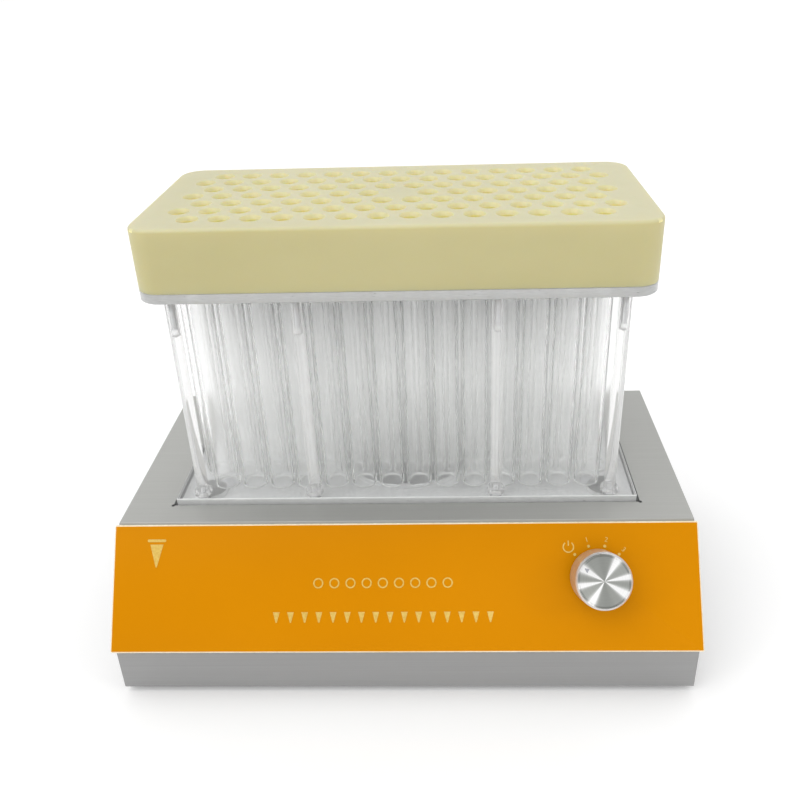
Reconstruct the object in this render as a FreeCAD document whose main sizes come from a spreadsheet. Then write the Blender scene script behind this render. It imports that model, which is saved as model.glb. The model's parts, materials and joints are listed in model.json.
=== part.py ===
import FreeCAD, Part
import math
import os
import Sketcher

# Vibrating filling stand for paper cones: a sheet-steel base holds a sprung platform that a small
# eccentric motor shakes; a clear rack of one hundred tubes stands on it under a funnel tray.
# Millimetres, +Z up, +Y to the back. The origin is at the floor, in the middle of the outer box.

V = FreeCAD.Vector
X_AXIS = V(1, 0, 0)
Z_AXIS = V(0, 0, 1)
ORIGIN_POINT = (-1, 1)
COVER_TOP = "(Sizes.base_bottom + Sizes.cover_thickness)"
RACK_TOP = "(Sizes.deck_top + Sizes.tube_height)"
PLATFORM_BOTTOM = "(Sizes.platform_top - Sizes.platform_thickness)"

CELLS = [
    ("Housing", [
        ("base_width", 296), ("base_front", -82.3), ("base_rear", 87.5), ("base_bottom", 4),
        ("base_top", 84.2), ("brow_front", -47.4), ("brow_angle", 55), ("wall", 1.5),
        ("bend_radius", 0.8), ("well_width", 247), ("well_depth", 114), ("lip_depth", 6),
        ("relief_radius", 1), ("cover_thickness", 1.5), ("cover_gap", 0.2), ("block_side", 12),
        ("block_front_y", -70.3), ("block_middle_y", -2), ("block_rear_y", 76),
        ("vent_length", 28), ("vent_width", 3), ("vent_pitch", 7), ("vent_count", 12),
        ("vent_x", 22),
    ]),
    ("Panel and knob", [
        ("panel_width", 298), ("panel_length", 64), ("panel_thickness", 3), ("panel_drop", 1.1),
        ("panel_bevel", 0.5), ("knob_across", 97.6), ("knob_rise", 4.5), ("knob_radius", 14),
        ("knob_height", 18.6), ("knob_gap", 0.8), ("knob_bevel", 1.1), ("knob_draft", 0.2),
        ("knob_hollow_radius", 11.5), ("knob_hollow", 12), ("boss_radius", 5.5), ("boss_lift", 2.5),
        ("knob_roof", 1.5), ("pointer_turn", 56.6), ("pointer_depth", 0.3), ("shaft_radius", 3),
        ("bush_radius", 4.5), ("bush_height", 6), ("switch_radius", 12), ("switch_depth", 14),
        ("tab_pitch", 4), ("nut_height", 2.2), ("nut_flats", 12),
    ]),
    ("Marks", [
        ("dial_radius", 15.7), ("dot_radius", 0.75), ("dial_step", 30), ("ink_height", 0.15),
        ("power_across", -14.2), ("power_rise", 14.9), ("power_radius", 2.6), ("power_line", 0.6),
        ("power_gap", 76), ("upper_row_rise", 2.2), ("lower_row_rise", -17.2), ("row_across", -10.5),
        ("ring_pitch", 8.2), ("ring_count", 9), ("ring_radius", 2.6), ("ring_line", 0.7),
        ("cone_pitch", 7.2), ("cone_count", 16), ("cone_height", 5.2), ("cone_width", 3.4),
        ("cone_tip", 0.6), ("sign_across", -126.7), ("sign_rise", 10.5), ("sign_height", 11.5),
        ("sign_width", 6.8), ("sign_lid", 1.4), ("sign_lid_gap", 1.2),
    ]),
    ("Feet and cover", [
        ("foot_radius", 10), ("foot_x", 122), ("foot_front_y", -60), ("foot_rear_y", 68),
        ("foot_screw_radius", 2), ("foot_recess", 2.5), ("foot_recess_radius", 4.6),
        ("foot_edge", 0.8), ("screw_radius", 1.5), ("head_radius", 3), ("head_height", 2),
        ("screw_gap", 0.05),
    ]),
    ("Platform", [
        ("rack_y", 24), ("platform_width", 243), ("platform_depth", 110), ("platform_top", 79.2),
        ("platform_thickness", 4), ("platform_corner", 6), ("disc_radius", 40), ("disc_height", 3),
        ("pad_radius", 8), ("pad_x", 106), ("pad_y", 42), ("isolator_x", 100), ("isolator_y", 32),
        ("isolator_radius", 9), ("isolator_waist", 7.4), ("isolator_bore", 3), ("post_radius", 8),
        ("post_top", 50), ("stud_radius", 2.5), ("stud_height", 7), ("stud_head", 4.5),
        ("clamp_x", 21), ("clamp_y", 15),
    ]),
    ("Motor", [
        ("motor_z", 50), ("motor_radius", 18), ("motor_length", 50), ("can_wall", 1.5),
        ("bearing_radius", 5), ("bearing_length", 4), ("core_radius", 14.5), ("core_length", 30),
        ("rotor_radius", 3), ("rotor_length", 90), ("rotor_gap", 0.02), ("weight_radius", 15),
        ("weight_hub", 6.5), ("weight_thickness", 8), ("weight_x", 36), ("bracket_thickness", 3),
        ("bracket_width", 44), ("bracket_gap", 0.2), ("bracket_drop", 13),
    ]),
    ("Rack", [
        ("deck_width", 244), ("deck_depth", 111), ("deck_thickness", 5), ("deck_top", 87.2),
        ("pitch", 15), ("tube_radius", 7), ("tube_bore", 5.3), ("tube_height", 112),
        ("seat_depth", 1), ("seat_radius", 7.05), ("rod_radius", 3), ("rod_outer_x", 108.2),
        ("rod_inner_x", 48.3), ("rod_y", 50.5), ("collar_radius", 4.7), ("collar_height", 3),
        ("rod_tap_radius", 1.55), ("upper_tap", 18), ("lower_tap", 6), ("upper_screw", 20),
        ("lower_screw", 10), ("top_width", 248), ("top_depth", 110.5), ("top_thickness", 5),
        ("corner_radius", 12), ("pin_radius", 2.5), ("pin_x", 91.5), ("pin_y", 48),
        ("pin_height", 4), ("pin_nose", 0.8),
    ]),
    ("Tray", [
        ("tray_height", 31.5), ("tray_rim", 1.8), ("funnel_radius", 4), ("funnel_bevel", 1.7),
        ("socket_radius", 2.9), ("socket_depth", 6),
    ]),
    ("Electrical", [
        ("inlet_x", -60), ("inlet_z", 42), ("flange_width", 50), ("flange_height", 24),
        ("flange_thickness", 2), ("flange_corner", 4), ("ear_x", 20), ("ear_head", 2.9),
        ("socket_width", 24), ("socket_height", 15.5), ("socket_deep", 15), ("blade_x", 7),
        ("blade_width", 2), ("blade_height", 4.6), ("blade_drop", 4), ("inlet_body_width", 27),
        ("inlet_body_height", 19), ("inlet_body_depth", 18), ("fuse_x", -22), ("fuse_radius", 6),
        ("fuse_flange", 8.5), ("fuse_length", 22), ("cap_radius", 4.3), ("cap_length", 12),
        ("board_x", 72), ("board_y", -46), ("board_length", 80), ("board_width", 30),
        ("board_thickness", 1.6), ("board_lift", 8), ("board_hole_x", 36), ("board_hole_y", 11.5),
        ("standoff_radius", 2.8), ("supply_length", 88), ("supply_width", 36),
        ("supply_height", 25), ("supply_corner", 1.5), ("lead_radius", 2),
    ]),
]

doc = FreeCAD.newDocument("ConeFillingStand")
sheet = doc.addObject("Spreadsheet::Sheet", "Sizes")


def fill_sheet():
    """Writes every driving dimension in its own row, with its alias beside it."""
    row = 1
    for heading, cells in CELLS:
        sheet.set(f"A{row}", heading)
        row += 1
        for alias, value in cells:
            sheet.set(f"A{row}", alias)
            sheet.set(f"B{row}", str(value))
            sheet.setAlias(f"B{row}", alias)
            row += 1
    doc.recompute()


def cell(alias):
    """The number that the sheet holds under an alias."""
    return float(sheet.get(alias))


def number(formula):
    """The value of a formula over the sheet's cells, or of a plain number."""
    return float(sheet.evalExpression(str(formula)))


def new_body(label, placement=None):
    """A sub-part: a PartDesign body that may hold several separate solids."""
    body = doc.addObject("PartDesign::Body", label)
    body.Label = label
    body.AllowCompound = True
    body.Placement = placement or FreeCAD.Placement()
    return body


def new_sketch(body, role="XY_Plane", level="0", tilt=None):
    """A sketch on one of the body's origin planes, raised by a formula or set at a placement."""
    sketch = body.newObject("Sketcher::SketchObject", body.Label + "_sketch")
    plane = next(f for f in body.Origin.OriginFeatures if f.Role == role)
    sketch.AttachmentSupport = (plane, [""])
    sketch.MapMode = "FlatFace"
    if tilt:
        sketch.AttachmentOffset = tilt
    else:
        sketch.setExpression("AttachmentOffset.Base.z", str(level))
    return sketch


def polygon(sketch, corners):
    """A closed outline whose corners are pairs of formulas over the sheet's cells."""
    points = [V(number(x), number(y), 0) for x, y in corners]
    first = sketch.GeometryCount
    for start, end in zip(points, points[1:] + points[:1]):
        sketch.addGeometry(Part.LineSegment(start, end), False)
    for index, (x, y) in enumerate(corners):
        line = first + index
        previous = first + (index - 1) % len(corners)
        sketch.addConstraint(Sketcher.Constraint("Coincident", previous, 2, line, 1))
        for kind, formula in (("DistanceX", x), ("DistanceY", y)):
            rule = Sketcher.Constraint(kind, *ORIGIN_POINT, line, 1, number(formula))
            place = sketch.addConstraint(rule)
            sketch.setExpression(f"Constraints[{place}]", str(formula))


def rectangle(sketch, width, depth, centre=("0", "0")):
    """A rectangle from formulas for its two sides and its centre."""
    cx, cy = centre
    signs = ((-1, -1), (1, -1), (1, 1), (-1, 1))
    polygon(sketch, [(f"{cx} + {i} * ({width}) / 2", f"{cy} + {j} * ({depth}) / 2") for i, j in signs])


def circles(sketch, centres, radius):
    """One circle at every centre, all of the radius that the formula gives."""
    first = sketch.GeometryCount
    for x, y in centres:
        sketch.addGeometry(Part.Circle(V(x, y, 0), Z_AXIS, number(radius)), False)
    size = sketch.addConstraint(Sketcher.Constraint("Radius", first, number(radius)))
    sketch.setExpression(f"Constraints[{size}]", str(radius))
    for index in range(first + 1, first + len(centres)):
        sketch.addConstraint(Sketcher.Constraint("Equal", first, index))


def pad(body, sketch, length, taper=0, both_ways=False):
    """Adds the sketch's outline, length thick."""
    feature = body.newObject("PartDesign::Pad", body.Label + "_pad")
    feature.Profile = sketch
    feature.setExpression("Length", str(length))
    feature.TaperAngle = taper
    feature.Midplane = both_ways
    body.Tip = feature
    doc.recompute()
    return feature


def pocket(body, sketch, depth, taper=0, upward=False):
    """Cuts the sketch's outline down from its plane, or up, and makes sure that it did cut."""
    before = body.Shape.Volume
    feature = body.newObject("PartDesign::Pocket", body.Label + "_pocket")
    feature.Profile = sketch
    feature.setExpression("Length", str(depth))
    feature.TaperAngle = taper
    feature.Reversed = upward
    body.Tip = feature
    doc.recompute()
    if body.Shape.Volume > before - 0.01:
        raise RuntimeError(f"{feature.Label} cut nothing")
    return feature


def slab(body, width, depth, height, level="0", centre=("0", "0")):
    """A rectangular plate standing on the given level."""
    sketch = new_sketch(body, level=level)
    rectangle(sketch, width, depth, centre)
    return pad(body, sketch, height)


def discs(body, centres, radius, height, level="0", bore=None, taper=0):
    """A round disc at every centre, or a ring where a bore is given."""
    sketch = new_sketch(body, level=level)
    circles(sketch, centres, radius)
    if bore:
        circles(sketch, centres, bore)
    return pad(body, sketch, height, taper)


def drill(body, centres, radius, depth, level, taper=0):
    """A round hole at every centre, going down from the given level."""
    sketch = new_sketch(body, level=level)
    circles(sketch, centres, radius)
    return pocket(body, sketch, depth, taper)


def revolve(body, outline):
    """A solid turned about the body's Z axis from an outline of (radius, height) formulas."""
    sketch = new_sketch(body, "XZ_Plane")
    polygon(sketch, outline)
    feature = body.newObject("PartDesign::Revolution", body.Label + "_turn")
    feature.Profile = sketch
    feature.ReferenceAxis = (sketch, ["V_Axis"])
    feature.Angle = 360
    body.Tip = feature
    doc.recompute()
    return feature


def dress(body, kind, size_name, size, wanted):
    """Fillets or chamfers the edges of the body's last shape that pass a test."""
    base = body.Tip
    names = [f"Edge{i + 1}" for i, edge in enumerate(base.Shape.Edges) if wanted(edge)]
    feature = body.newObject(kind, body.Label + "_edges")
    feature.Base = (base, names)
    feature.setExpression(size_name, size)
    body.Tip = feature
    doc.recompute()
    return feature


def fillet(body, radius, wanted):
    return dress(body, "PartDesign::Fillet", "Radius", radius, wanted)


def chamfer(body, size, wanted):
    return dress(body, "PartDesign::Chamfer", "Size", size, wanted)


def is_upright(edge):
    """True for a straight edge along Z."""
    if not isinstance(edge.Curve, (Part.Line, Part.LineSegment)):
        return False
    return abs(abs(edge.tangentAt(edge.FirstParameter).z) - 1) < 1e-6


def lies_at(level):
    """A test for edges that lie wholly at one height."""
    return lambda edge: max(abs(v.Z - level) for v in edge.Vertexes) < 1e-4


def four_ways(x, y):
    """Four places round the middle, from two numbers or two of the sheet's aliases."""
    x, y = (cell(size) if isinstance(size, str) else size for size in (x, y))
    return [(-x, -y), (x, -y), (x, y), (-x, y)]


def tube_rows():
    """The centres of the one hundred tubes, row by row from the front, staggered by half a pitch.

    Rows of 14 and 15 alternate, and the middle row of 15 leaves its centre place empty.
    """
    pitch = cell("pitch")
    rows = []
    for row, count in enumerate((14, 15, 14, 15, 14, 15, 14)):
        y = (row - 3) * pitch * math.cos(math.pi / 6)
        places = [((k - (count - 1) / 2) * pitch, y) for k in range(count)]
        rows.append([p for p in places if row != 3 or abs(p[0]) > pitch / 2])
    return rows


def placed(x, y, z, rotation=None):
    return FreeCAD.Placement(V(x, y, z), rotation or FreeCAD.Rotation())


def on_rack(z=0):
    """A placement over the middle of the rack well."""
    return placed(0, cell("rack_y"), z)


def on_slope(across=0, rise=0, out=0):
    """A placement on the sloped brow: X across, Y up the slope, Z out of it.

    Its origin is the middle of the panel's back face.
    """
    angle = cell("brow_angle")
    turn = FreeCAD.Rotation(X_AXIS, angle)
    brow = V(0, cell("brow_front"), cell("base_top"))
    down = cell("panel_drop") + cell("panel_length") / 2
    middle = brow - turn.multVec(V(0, down, 0))
    return FreeCAD.Placement(middle + turn.multVec(V(across, rise, out)), turn)


def at_knob():
    return on_slope(cell("knob_across"), cell("knob_rise"))


def on_rear(x, z):
    """A placement on the rear wall: Z points out of the wall to the back, Y points down."""
    return placed(x, cell("base_rear"), z, FreeCAD.Rotation(X_AXIS, -90))


def along_x(x):
    """A placement on the motor's axis: Z points along +X."""
    turn = FreeCAD.Rotation(V(0, 1, 0), 90)
    return placed(x, cell("rack_y"), cell("motor_z"), turn)


ONE = [(0, 0)]


def foot_places():
    x = cell("foot_x")
    ys = (cell("foot_front_y"), cell("foot_rear_y"))
    return [(side * x, y) for y in ys for side in (-1, 1)]


def block_places():
    """The six threaded blocks along the side walls."""
    x = cell("base_width") / 2 - cell("wall") - cell("block_side") / 2
    rows = ("block_front_y", "block_middle_y", "block_rear_y")
    return [(side * x, cell(row)) for row in rows for side in (-1, 1)]


def post_places():
    return [(x, cell("rack_y") + y) for x, y in four_ways("isolator_x", "isolator_y")]


def rod_places(y_signs=(-1, 1)):
    xs = (-cell("rod_outer_x"), -cell("rod_inner_x"), cell("rod_inner_x"), cell("rod_outer_x"))
    return [(x, sign * cell("rod_y")) for sign in y_signs for x in xs]


def screws(body, places, head_top, length, shank="Sizes.screw_radius", head="Sizes.head_radius",
           flush=True, upward=False):
    """Adds a group of screws that point down from head_top, or up from it.

    A flush head is a cone that ends at the shank; a raised head is a plain disc above head_top.
    """
    sign = -1 if upward else 1
    low = head_top if upward else f"({head_top}) - ({length})"
    discs(body, places, shank, length, low)
    if flush:
        depth = f"({head}) - ({shank})"
        level = head_top if upward else f"({head_top}) - ({depth})"
        start = head if upward else shank
        discs(body, places, start, depth, level, taper=45 * sign)
    else:
        level = f"({head_top}) - Sizes.head_height" if upward else head_top
        discs(body, places, head, "Sizes.head_height", level)


def countersinks(body, places, level, head="Sizes.head_radius", shank="Sizes.screw_radius",
                 upward=False):
    """Cone-shaped seats for flush screws, cut down from a level, or up from it."""
    sketch = new_sketch(body, level=level)
    circles(sketch, places, f"{head} + Sizes.screw_gap")
    feature = pocket(body, sketch, f"{head} - {shank}", -45, upward)
    feature.Label = body.Label + "_seats"


def housing_shell():
    """The bent and welded steel case, with a folded lip round the rack well."""
    body = new_body("housing_shell")
    profile = new_sketch(body, "YZ_Plane")
    toe = "Sizes.base_top - (Sizes.brow_front - Sizes.base_front) * tan(Sizes.brow_angle)"
    polygon(profile, [
        ("Sizes.base_front", "Sizes.base_bottom"), ("Sizes.base_front", toe),
        ("Sizes.brow_front", "Sizes.base_top"), ("Sizes.base_rear", "Sizes.base_top"),
        ("Sizes.base_rear", "Sizes.base_bottom"),
    ])
    pad(body, profile, "Sizes.base_width", both_ways=True)
    bottom = cell("base_bottom")
    fillet(body, "Sizes.bend_radius", lambda e: min(v.Z for v in e.Vertexes) > bottom + 1)
    hollow = new_sketch(body, "YZ_Plane", level="Sizes.base_width / 2 - Sizes.wall")
    front = "(Sizes.base_front + Sizes.wall)"
    lean = "Sizes.wall / cos(Sizes.brow_angle)"
    inner_toe = f"Sizes.base_top - (Sizes.brow_front - {front}) * tan(Sizes.brow_angle) - {lean}"
    inner_brow = f"Sizes.brow_front + ({lean} - Sizes.wall) / tan(Sizes.brow_angle)"
    polygon(hollow, [
        (front, "Sizes.base_bottom - 1"), (front, inner_toe),
        (inner_brow, "Sizes.base_top - Sizes.wall"),
        ("Sizes.base_rear - Sizes.wall", "Sizes.base_top - Sizes.wall"),
        ("Sizes.base_rear - Sizes.wall", "Sizes.base_bottom - 1"),
    ])
    pocket(body, hollow, "Sizes.base_width - 2 * Sizes.wall")
    centre = ("0", "Sizes.rack_y")
    lip = "2 * Sizes.wall"
    slab(body, f"Sizes.well_width + {lip}", f"Sizes.well_depth + {lip}", "Sizes.lip_depth",
         "Sizes.base_top - Sizes.lip_depth", centre)
    well = new_sketch(body, level="Sizes.base_top + 1")
    rectangle(well, "Sizes.well_width", "Sizes.well_depth", centre)
    pocket(body, well, "Sizes.lip_depth + 2")
    around = four_ways(cell("well_width") / 2, cell("well_depth") / 2)
    corners = [(x, y + cell("rack_y")) for x, y in around]
    drill(body, corners, "Sizes.relief_radius", "Sizes.lip_depth + 2", "Sizes.base_top + 1")
    seat = new_sketch(body, tilt=at_knob().multiply(placed(0, 0, 1)))
    circles(seat, ONE, "Sizes.bush_radius + 0.2")
    pocket(body, seat, "Sizes.wall + 3")
    rear = placed(0, 0, -(cell("base_rear") - 4))
    inlet = new_sketch(body, "XZ_Plane", tilt=rear)
    rectangle(inlet, "Sizes.inlet_body_width + 0.6", "Sizes.inlet_body_height + 0.6",
              ("Sizes.inlet_x", "Sizes.inlet_z"))
    ears = [(cell("inlet_x") + side * cell("ear_x"), cell("inlet_z")) for side in (-1, 1)]
    circles(inlet, ears, "Sizes.screw_radius + Sizes.screw_gap")
    circles(inlet, [(cell("fuse_x"), cell("inlet_z"))], "Sizes.fuse_radius + 0.2")
    pocket(body, inlet, "8")
    vents = new_sketch(body, "XZ_Plane", tilt=rear)
    for index in range(int(cell("vent_count"))):
        rectangle(vents, "Sizes.vent_width", "Sizes.vent_length",
                  (f"Sizes.vent_x + {index} * Sizes.vent_pitch", "Sizes.inlet_z"))
    pocket(body, vents, "8")


def front_panel():
    """The coloured acrylic sheet on the sloped brow, with a hole for the switch bush."""
    body = new_body("front_panel", on_slope())
    slab(body, "Sizes.panel_width", "Sizes.panel_length", "Sizes.panel_thickness")
    top = cell("panel_thickness")
    chamfer(body, "Sizes.panel_bevel", lies_at(top))
    knob = [(cell("knob_across"), cell("knob_rise"))]
    drill(body, knob, "Sizes.bush_radius + 0.4", "Sizes.panel_thickness + 2",
          "Sizes.panel_thickness + 1")


def ring_arc(sketch, radius, width, gap_angle, centre):
    """A broken ring, open at its top, as the outline of a power sign."""
    cx, cy = centre
    start = math.radians(90 + gap_angle / 2)
    end = math.radians(450 - gap_angle / 2)
    circle_in = Part.Circle(V(cx, cy, 0), Z_AXIS, radius - width / 2)
    circle_out = Part.Circle(V(cx, cy, 0), Z_AXIS, radius + width / 2)
    inner = Part.ArcOfCircle(circle_in, start, end)
    outer = Part.ArcOfCircle(circle_out, start, end)
    sketch.addGeometry(inner, False)
    sketch.addGeometry(outer, False)
    sketch.addGeometry(Part.LineSegment(inner.StartPoint, outer.StartPoint), False)
    sketch.addGeometry(Part.LineSegment(inner.EndPoint, outer.EndPoint), False)


def row_of(count, pitch):
    """The places of a row of marks, spread about its middle."""
    middle = cell("row_across")
    total = int(cell(count))
    return [middle + (k - (total - 1) / 2) * cell(pitch) for k in range(total)]


def printed_marks():
    """The dots and power sign round the knob, and rows of plain rings and cones for decoration."""
    body = new_body("printed_marks", on_slope(out=cell("panel_thickness")))
    across = cell("knob_across")
    rise = cell("knob_rise")
    places = []
    for turn in (-1.5, -0.5, 0.5, 1.5):
        angle = math.radians(turn * cell("dial_step"))
        places.append((across + cell("dial_radius") * math.sin(angle),
                       rise + cell("dial_radius") * math.cos(angle)))
    discs(body, places, "Sizes.dot_radius", "Sizes.ink_height")
    marks = new_sketch(body)
    centre = (across + cell("power_across"), rise + cell("power_rise"))
    ring_arc(marks, cell("power_radius"), cell("power_line"), cell("power_gap"), centre)
    rectangle(marks, "Sizes.power_line", "Sizes.power_radius",
              (str(centre[0]), f"{centre[1]} + Sizes.power_radius * 0.75"))
    for x in row_of("cone_count", "cone_pitch"):
        cone_mark(marks, x, "Sizes.lower_row_rise", "Sizes.cone_width", "Sizes.cone_height")
    cone_mark(marks, cell("sign_across"), "Sizes.sign_rise", "Sizes.sign_width",
              "Sizes.sign_height")
    lid = "Sizes.sign_rise + Sizes.sign_height + Sizes.sign_lid_gap + Sizes.sign_lid / 2"
    rectangle(marks, "Sizes.sign_width + 2 * Sizes.sign_lid", "Sizes.sign_lid",
              ("Sizes.sign_across", lid))
    pad(body, marks, "Sizes.ink_height")
    rings = [(x, cell("upper_row_rise")) for x in row_of("ring_count", "ring_pitch")]
    discs(body, rings, "Sizes.ring_radius", "Sizes.ink_height",
          bore="Sizes.ring_radius - Sizes.ring_line")


def cone_mark(sketch, across, foot, width, height):
    """A plain paper-cone outline standing on its tip."""
    polygon(sketch, [
        (f"{across} - {width} / 2", f"{foot} + {height}"),
        (f"{across} - Sizes.cone_tip / 2", foot), (f"{across} + Sizes.cone_tip / 2", foot),
        (f"{across} + {width} / 2", f"{foot} + {height}"),
    ])


def bottom_cover():
    """The flat steel floor, with pressed-in nuts for the feet, and air slots."""
    body = new_body("bottom_cover")
    gap = "2 * (Sizes.wall + Sizes.cover_gap)"
    slab(body, f"Sizes.base_width - {gap}", f"Sizes.base_rear - Sizes.base_front - {gap}",
         "Sizes.cover_thickness", "Sizes.base_bottom",
         ("0", "(Sizes.base_rear + Sizes.base_front) / 2"))
    discs(body, foot_places(), "4", "3.5", COVER_TOP)
    drill(body, foot_places(), "Sizes.foot_screw_radius + 0.05", "8", f"{COVER_TOP} + 4")
    fixings = block_places() + post_places()
    drill(body, fixings, "Sizes.screw_radius + Sizes.screw_gap", "4", f"{COVER_TOP} + 1")
    countersinks(body, fixings, "Sizes.base_bottom", upward=True)
    slots = new_sketch(body, level=f"{COVER_TOP} + 1")
    for index in range(int(cell("vent_count"))):
        across = f"({index} - (Sizes.vent_count - 1) / 2) * Sizes.vent_pitch"
        rectangle(slots, "Sizes.vent_width", "Sizes.vent_length", (across, "Sizes.rack_y"))
    pocket(body, slots, "4")


def mounting_blocks():
    """Square threaded blocks welded inside the side walls, which the floor screws into."""
    body = new_body("mounting_blocks")
    sketch = new_sketch(body, level=COVER_TOP)
    for x, y in block_places():
        rectangle(sketch, "Sizes.block_side", "Sizes.block_side", (str(x), str(y)))
    pad(body, sketch, "Sizes.block_side")
    drill(body, block_places(), "Sizes.screw_radius + 0.05", "Sizes.block_side - 1",
          f"{COVER_TOP} + Sizes.block_side - 1")


def cover_screws():
    """The flush screws that go up through the floor into the side blocks and isolator posts."""
    places = block_places() + post_places()
    screws(new_body("cover_screws"), places, "Sizes.base_bottom", "9", upward=True)


def feet():
    """Four turned rubber feet with a recess below for the screw's head."""
    names = ("front_left", "front_right", "rear_left", "rear_right")
    for name, (x, y) in zip(names, foot_places()):
        body = new_body(f"foot_{name}", placed(x, y, 0))
        discs(body, ONE, "Sizes.foot_radius", "Sizes.base_bottom")
        chamfer(body, "Sizes.foot_edge", lies_at(0))
        drill(body, ONE, "Sizes.foot_screw_radius + Sizes.screw_gap", "Sizes.base_bottom + 2",
              "Sizes.base_bottom + 1")
        drill(body, ONE, "Sizes.foot_recess_radius", "Sizes.foot_recess + 1", "Sizes.foot_recess")
    screws(new_body("foot_screws"), foot_places(), "Sizes.foot_recess", "7.5", "Sizes.foot_screw_radius",
           "4", flush=False, upward=True)


def control_switch():
    """The rotary speed switch behind the brow, its bush and nut, and its shaft in the knob."""
    body = new_body("switch_body", at_knob())
    discs(body, ONE, "Sizes.switch_radius", "Sizes.switch_depth",
          "-Sizes.wall - Sizes.switch_depth")
    discs(body, ONE, "Sizes.bush_radius", "Sizes.wall + Sizes.bush_height", "-Sizes.wall")
    drill(body, ONE, "Sizes.shaft_radius + 0.05", "Sizes.bush_height + 12", "Sizes.bush_height")
    tabs = new_sketch(body, level="-Sizes.wall - Sizes.switch_depth - 5")
    for place in (-1.5, -0.5, 0.5, 1.5):
        rectangle(tabs, "0.8", "3", (f"{place} * Sizes.tab_pitch", "-7"))
    pad(body, tabs, "6")

    nut = new_body("switch_nut", at_knob())
    outline = new_sketch(nut, level="Sizes.panel_thickness")
    corner = "Sizes.nut_flats / 2 / cos(30)"
    polygon(outline, [(f"{corner} * cos({60 * k})", f"{corner} * sin({60 * k})") for k in range(6)])
    circles(outline, ONE, "Sizes.bush_radius + 0.05")
    pad(nut, outline, "Sizes.nut_height")

    shaft = new_body("switch_shaft", at_knob())
    discs(shaft, ONE, "Sizes.shaft_radius", "30", "-11")


def knob():
    """The turned aluminium knob, hollow below round a bored boss, and its filled pointer."""
    body = new_body("knob", at_knob())
    low = "(Sizes.panel_thickness + Sizes.knob_gap)"
    high = f"({low} + Sizes.knob_height)"
    roof = f"({low} + Sizes.knob_hollow)"
    foot = f"({low} + Sizes.boss_lift)"
    bore = "(Sizes.shaft_radius + 0.02)"
    under = f"{high} - Sizes.knob_roof"
    revolve(body, [
        ("0", under), (bore, under), (bore, foot), ("Sizes.boss_radius", foot),
        ("Sizes.boss_radius", roof), ("Sizes.knob_hollow_radius", roof),
        ("Sizes.knob_hollow_radius", low), ("Sizes.knob_radius", low),
        ("Sizes.knob_radius - Sizes.knob_draft", f"{high} - Sizes.knob_bevel"),
        ("Sizes.knob_radius - Sizes.knob_draft - Sizes.knob_bevel", high), ("0", high),
    ])
    turn = FreeCAD.Rotation(Z_AXIS, cell("pointer_turn"))
    face = cell("panel_thickness") + cell("knob_gap") + cell("knob_height")
    triangle = [("-1.15", "9.4"), ("1.15", "9.4"), ("0", "11.5")]
    engraved = new_sketch(body, tilt=FreeCAD.Placement(V(0, 0, face), turn))
    polygon(engraved, triangle)
    pocket(body, engraved, "Sizes.pointer_depth")
    pointer = new_body("knob_pointer", at_knob())
    sunk = V(0, 0, face - cell("pointer_depth"))
    inlay = new_sketch(pointer, tilt=FreeCAD.Placement(sunk, turn))
    polygon(inlay, triangle)
    pad(pointer, inlay, "Sizes.pointer_depth")


def platform():
    """The sprung aluminium platform, its round and corner rests, and the four rubber isolators."""
    top = "Sizes.platform_top"
    plate = new_body("platform_plate", on_rack())
    slab(plate, "Sizes.platform_width", "Sizes.platform_depth", "Sizes.platform_thickness",
         PLATFORM_BOTTOM)
    fillet(plate, "Sizes.platform_corner", is_upright)
    holds = four_ways("isolator_x", "isolator_y")
    drill(plate, holds, "Sizes.stud_radius + Sizes.screw_gap", "8", f"{top} + 1")
    countersinks(plate, holds, top, "Sizes.stud_head", "Sizes.stud_radius")
    clamps = four_ways("clamp_x", "clamp_y")
    drill(plate, clamps, "Sizes.screw_radius + Sizes.screw_gap", "8", f"{top} + 1")
    countersinks(plate, clamps, top)

    disc = new_body("platform_disc", on_rack())
    discs(disc, ONE, "Sizes.disc_radius", "Sizes.disc_height", top)
    chamfer(disc, "0.5", lies_at(cell("platform_top") + cell("disc_height")))
    pads = new_body("rack_pads", on_rack())
    discs(pads, four_ways("pad_x", "pad_y"), "Sizes.pad_radius", "Sizes.disc_height", top)

    posts = new_body("isolator_posts", on_rack())
    discs(posts, holds, "Sizes.post_radius", f"Sizes.post_top - {COVER_TOP}", COVER_TOP)
    discs(posts, holds, "Sizes.stud_radius", "Sizes.stud_height", "Sizes.post_top")
    drill(posts, holds, "Sizes.screw_radius + Sizes.screw_gap", "12", f"{COVER_TOP} + 12")
    names = ("front_left", "front_right", "rear_right", "rear_left")
    for name, (x, y) in zip(names, holds):
        rubber = new_body(f"isolator_{name}", placed(x, y + cell("rack_y"), 0))
        rise = f"({PLATFORM_BOTTOM} - Sizes.post_top)"
        waist = "Sizes.isolator_waist"
        edge = "Sizes.isolator_radius"
        revolve(rubber, [
            ("Sizes.isolator_bore", "Sizes.post_top"), (edge, "Sizes.post_top"),
            (edge, f"Sizes.post_top + {rise} * 0.14"), (waist, f"Sizes.post_top + {rise} * 0.34"),
            (waist, f"Sizes.post_top + {rise} * 0.66"), (edge, f"Sizes.post_top + {rise} * 0.86"),
            (edge, PLATFORM_BOTTOM), ("Sizes.isolator_bore", PLATFORM_BOTTOM),
        ])
    screws(new_body("isolator_screws", on_rack()), holds, top, "13", "Sizes.stud_radius",
           "Sizes.stud_head")


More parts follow.
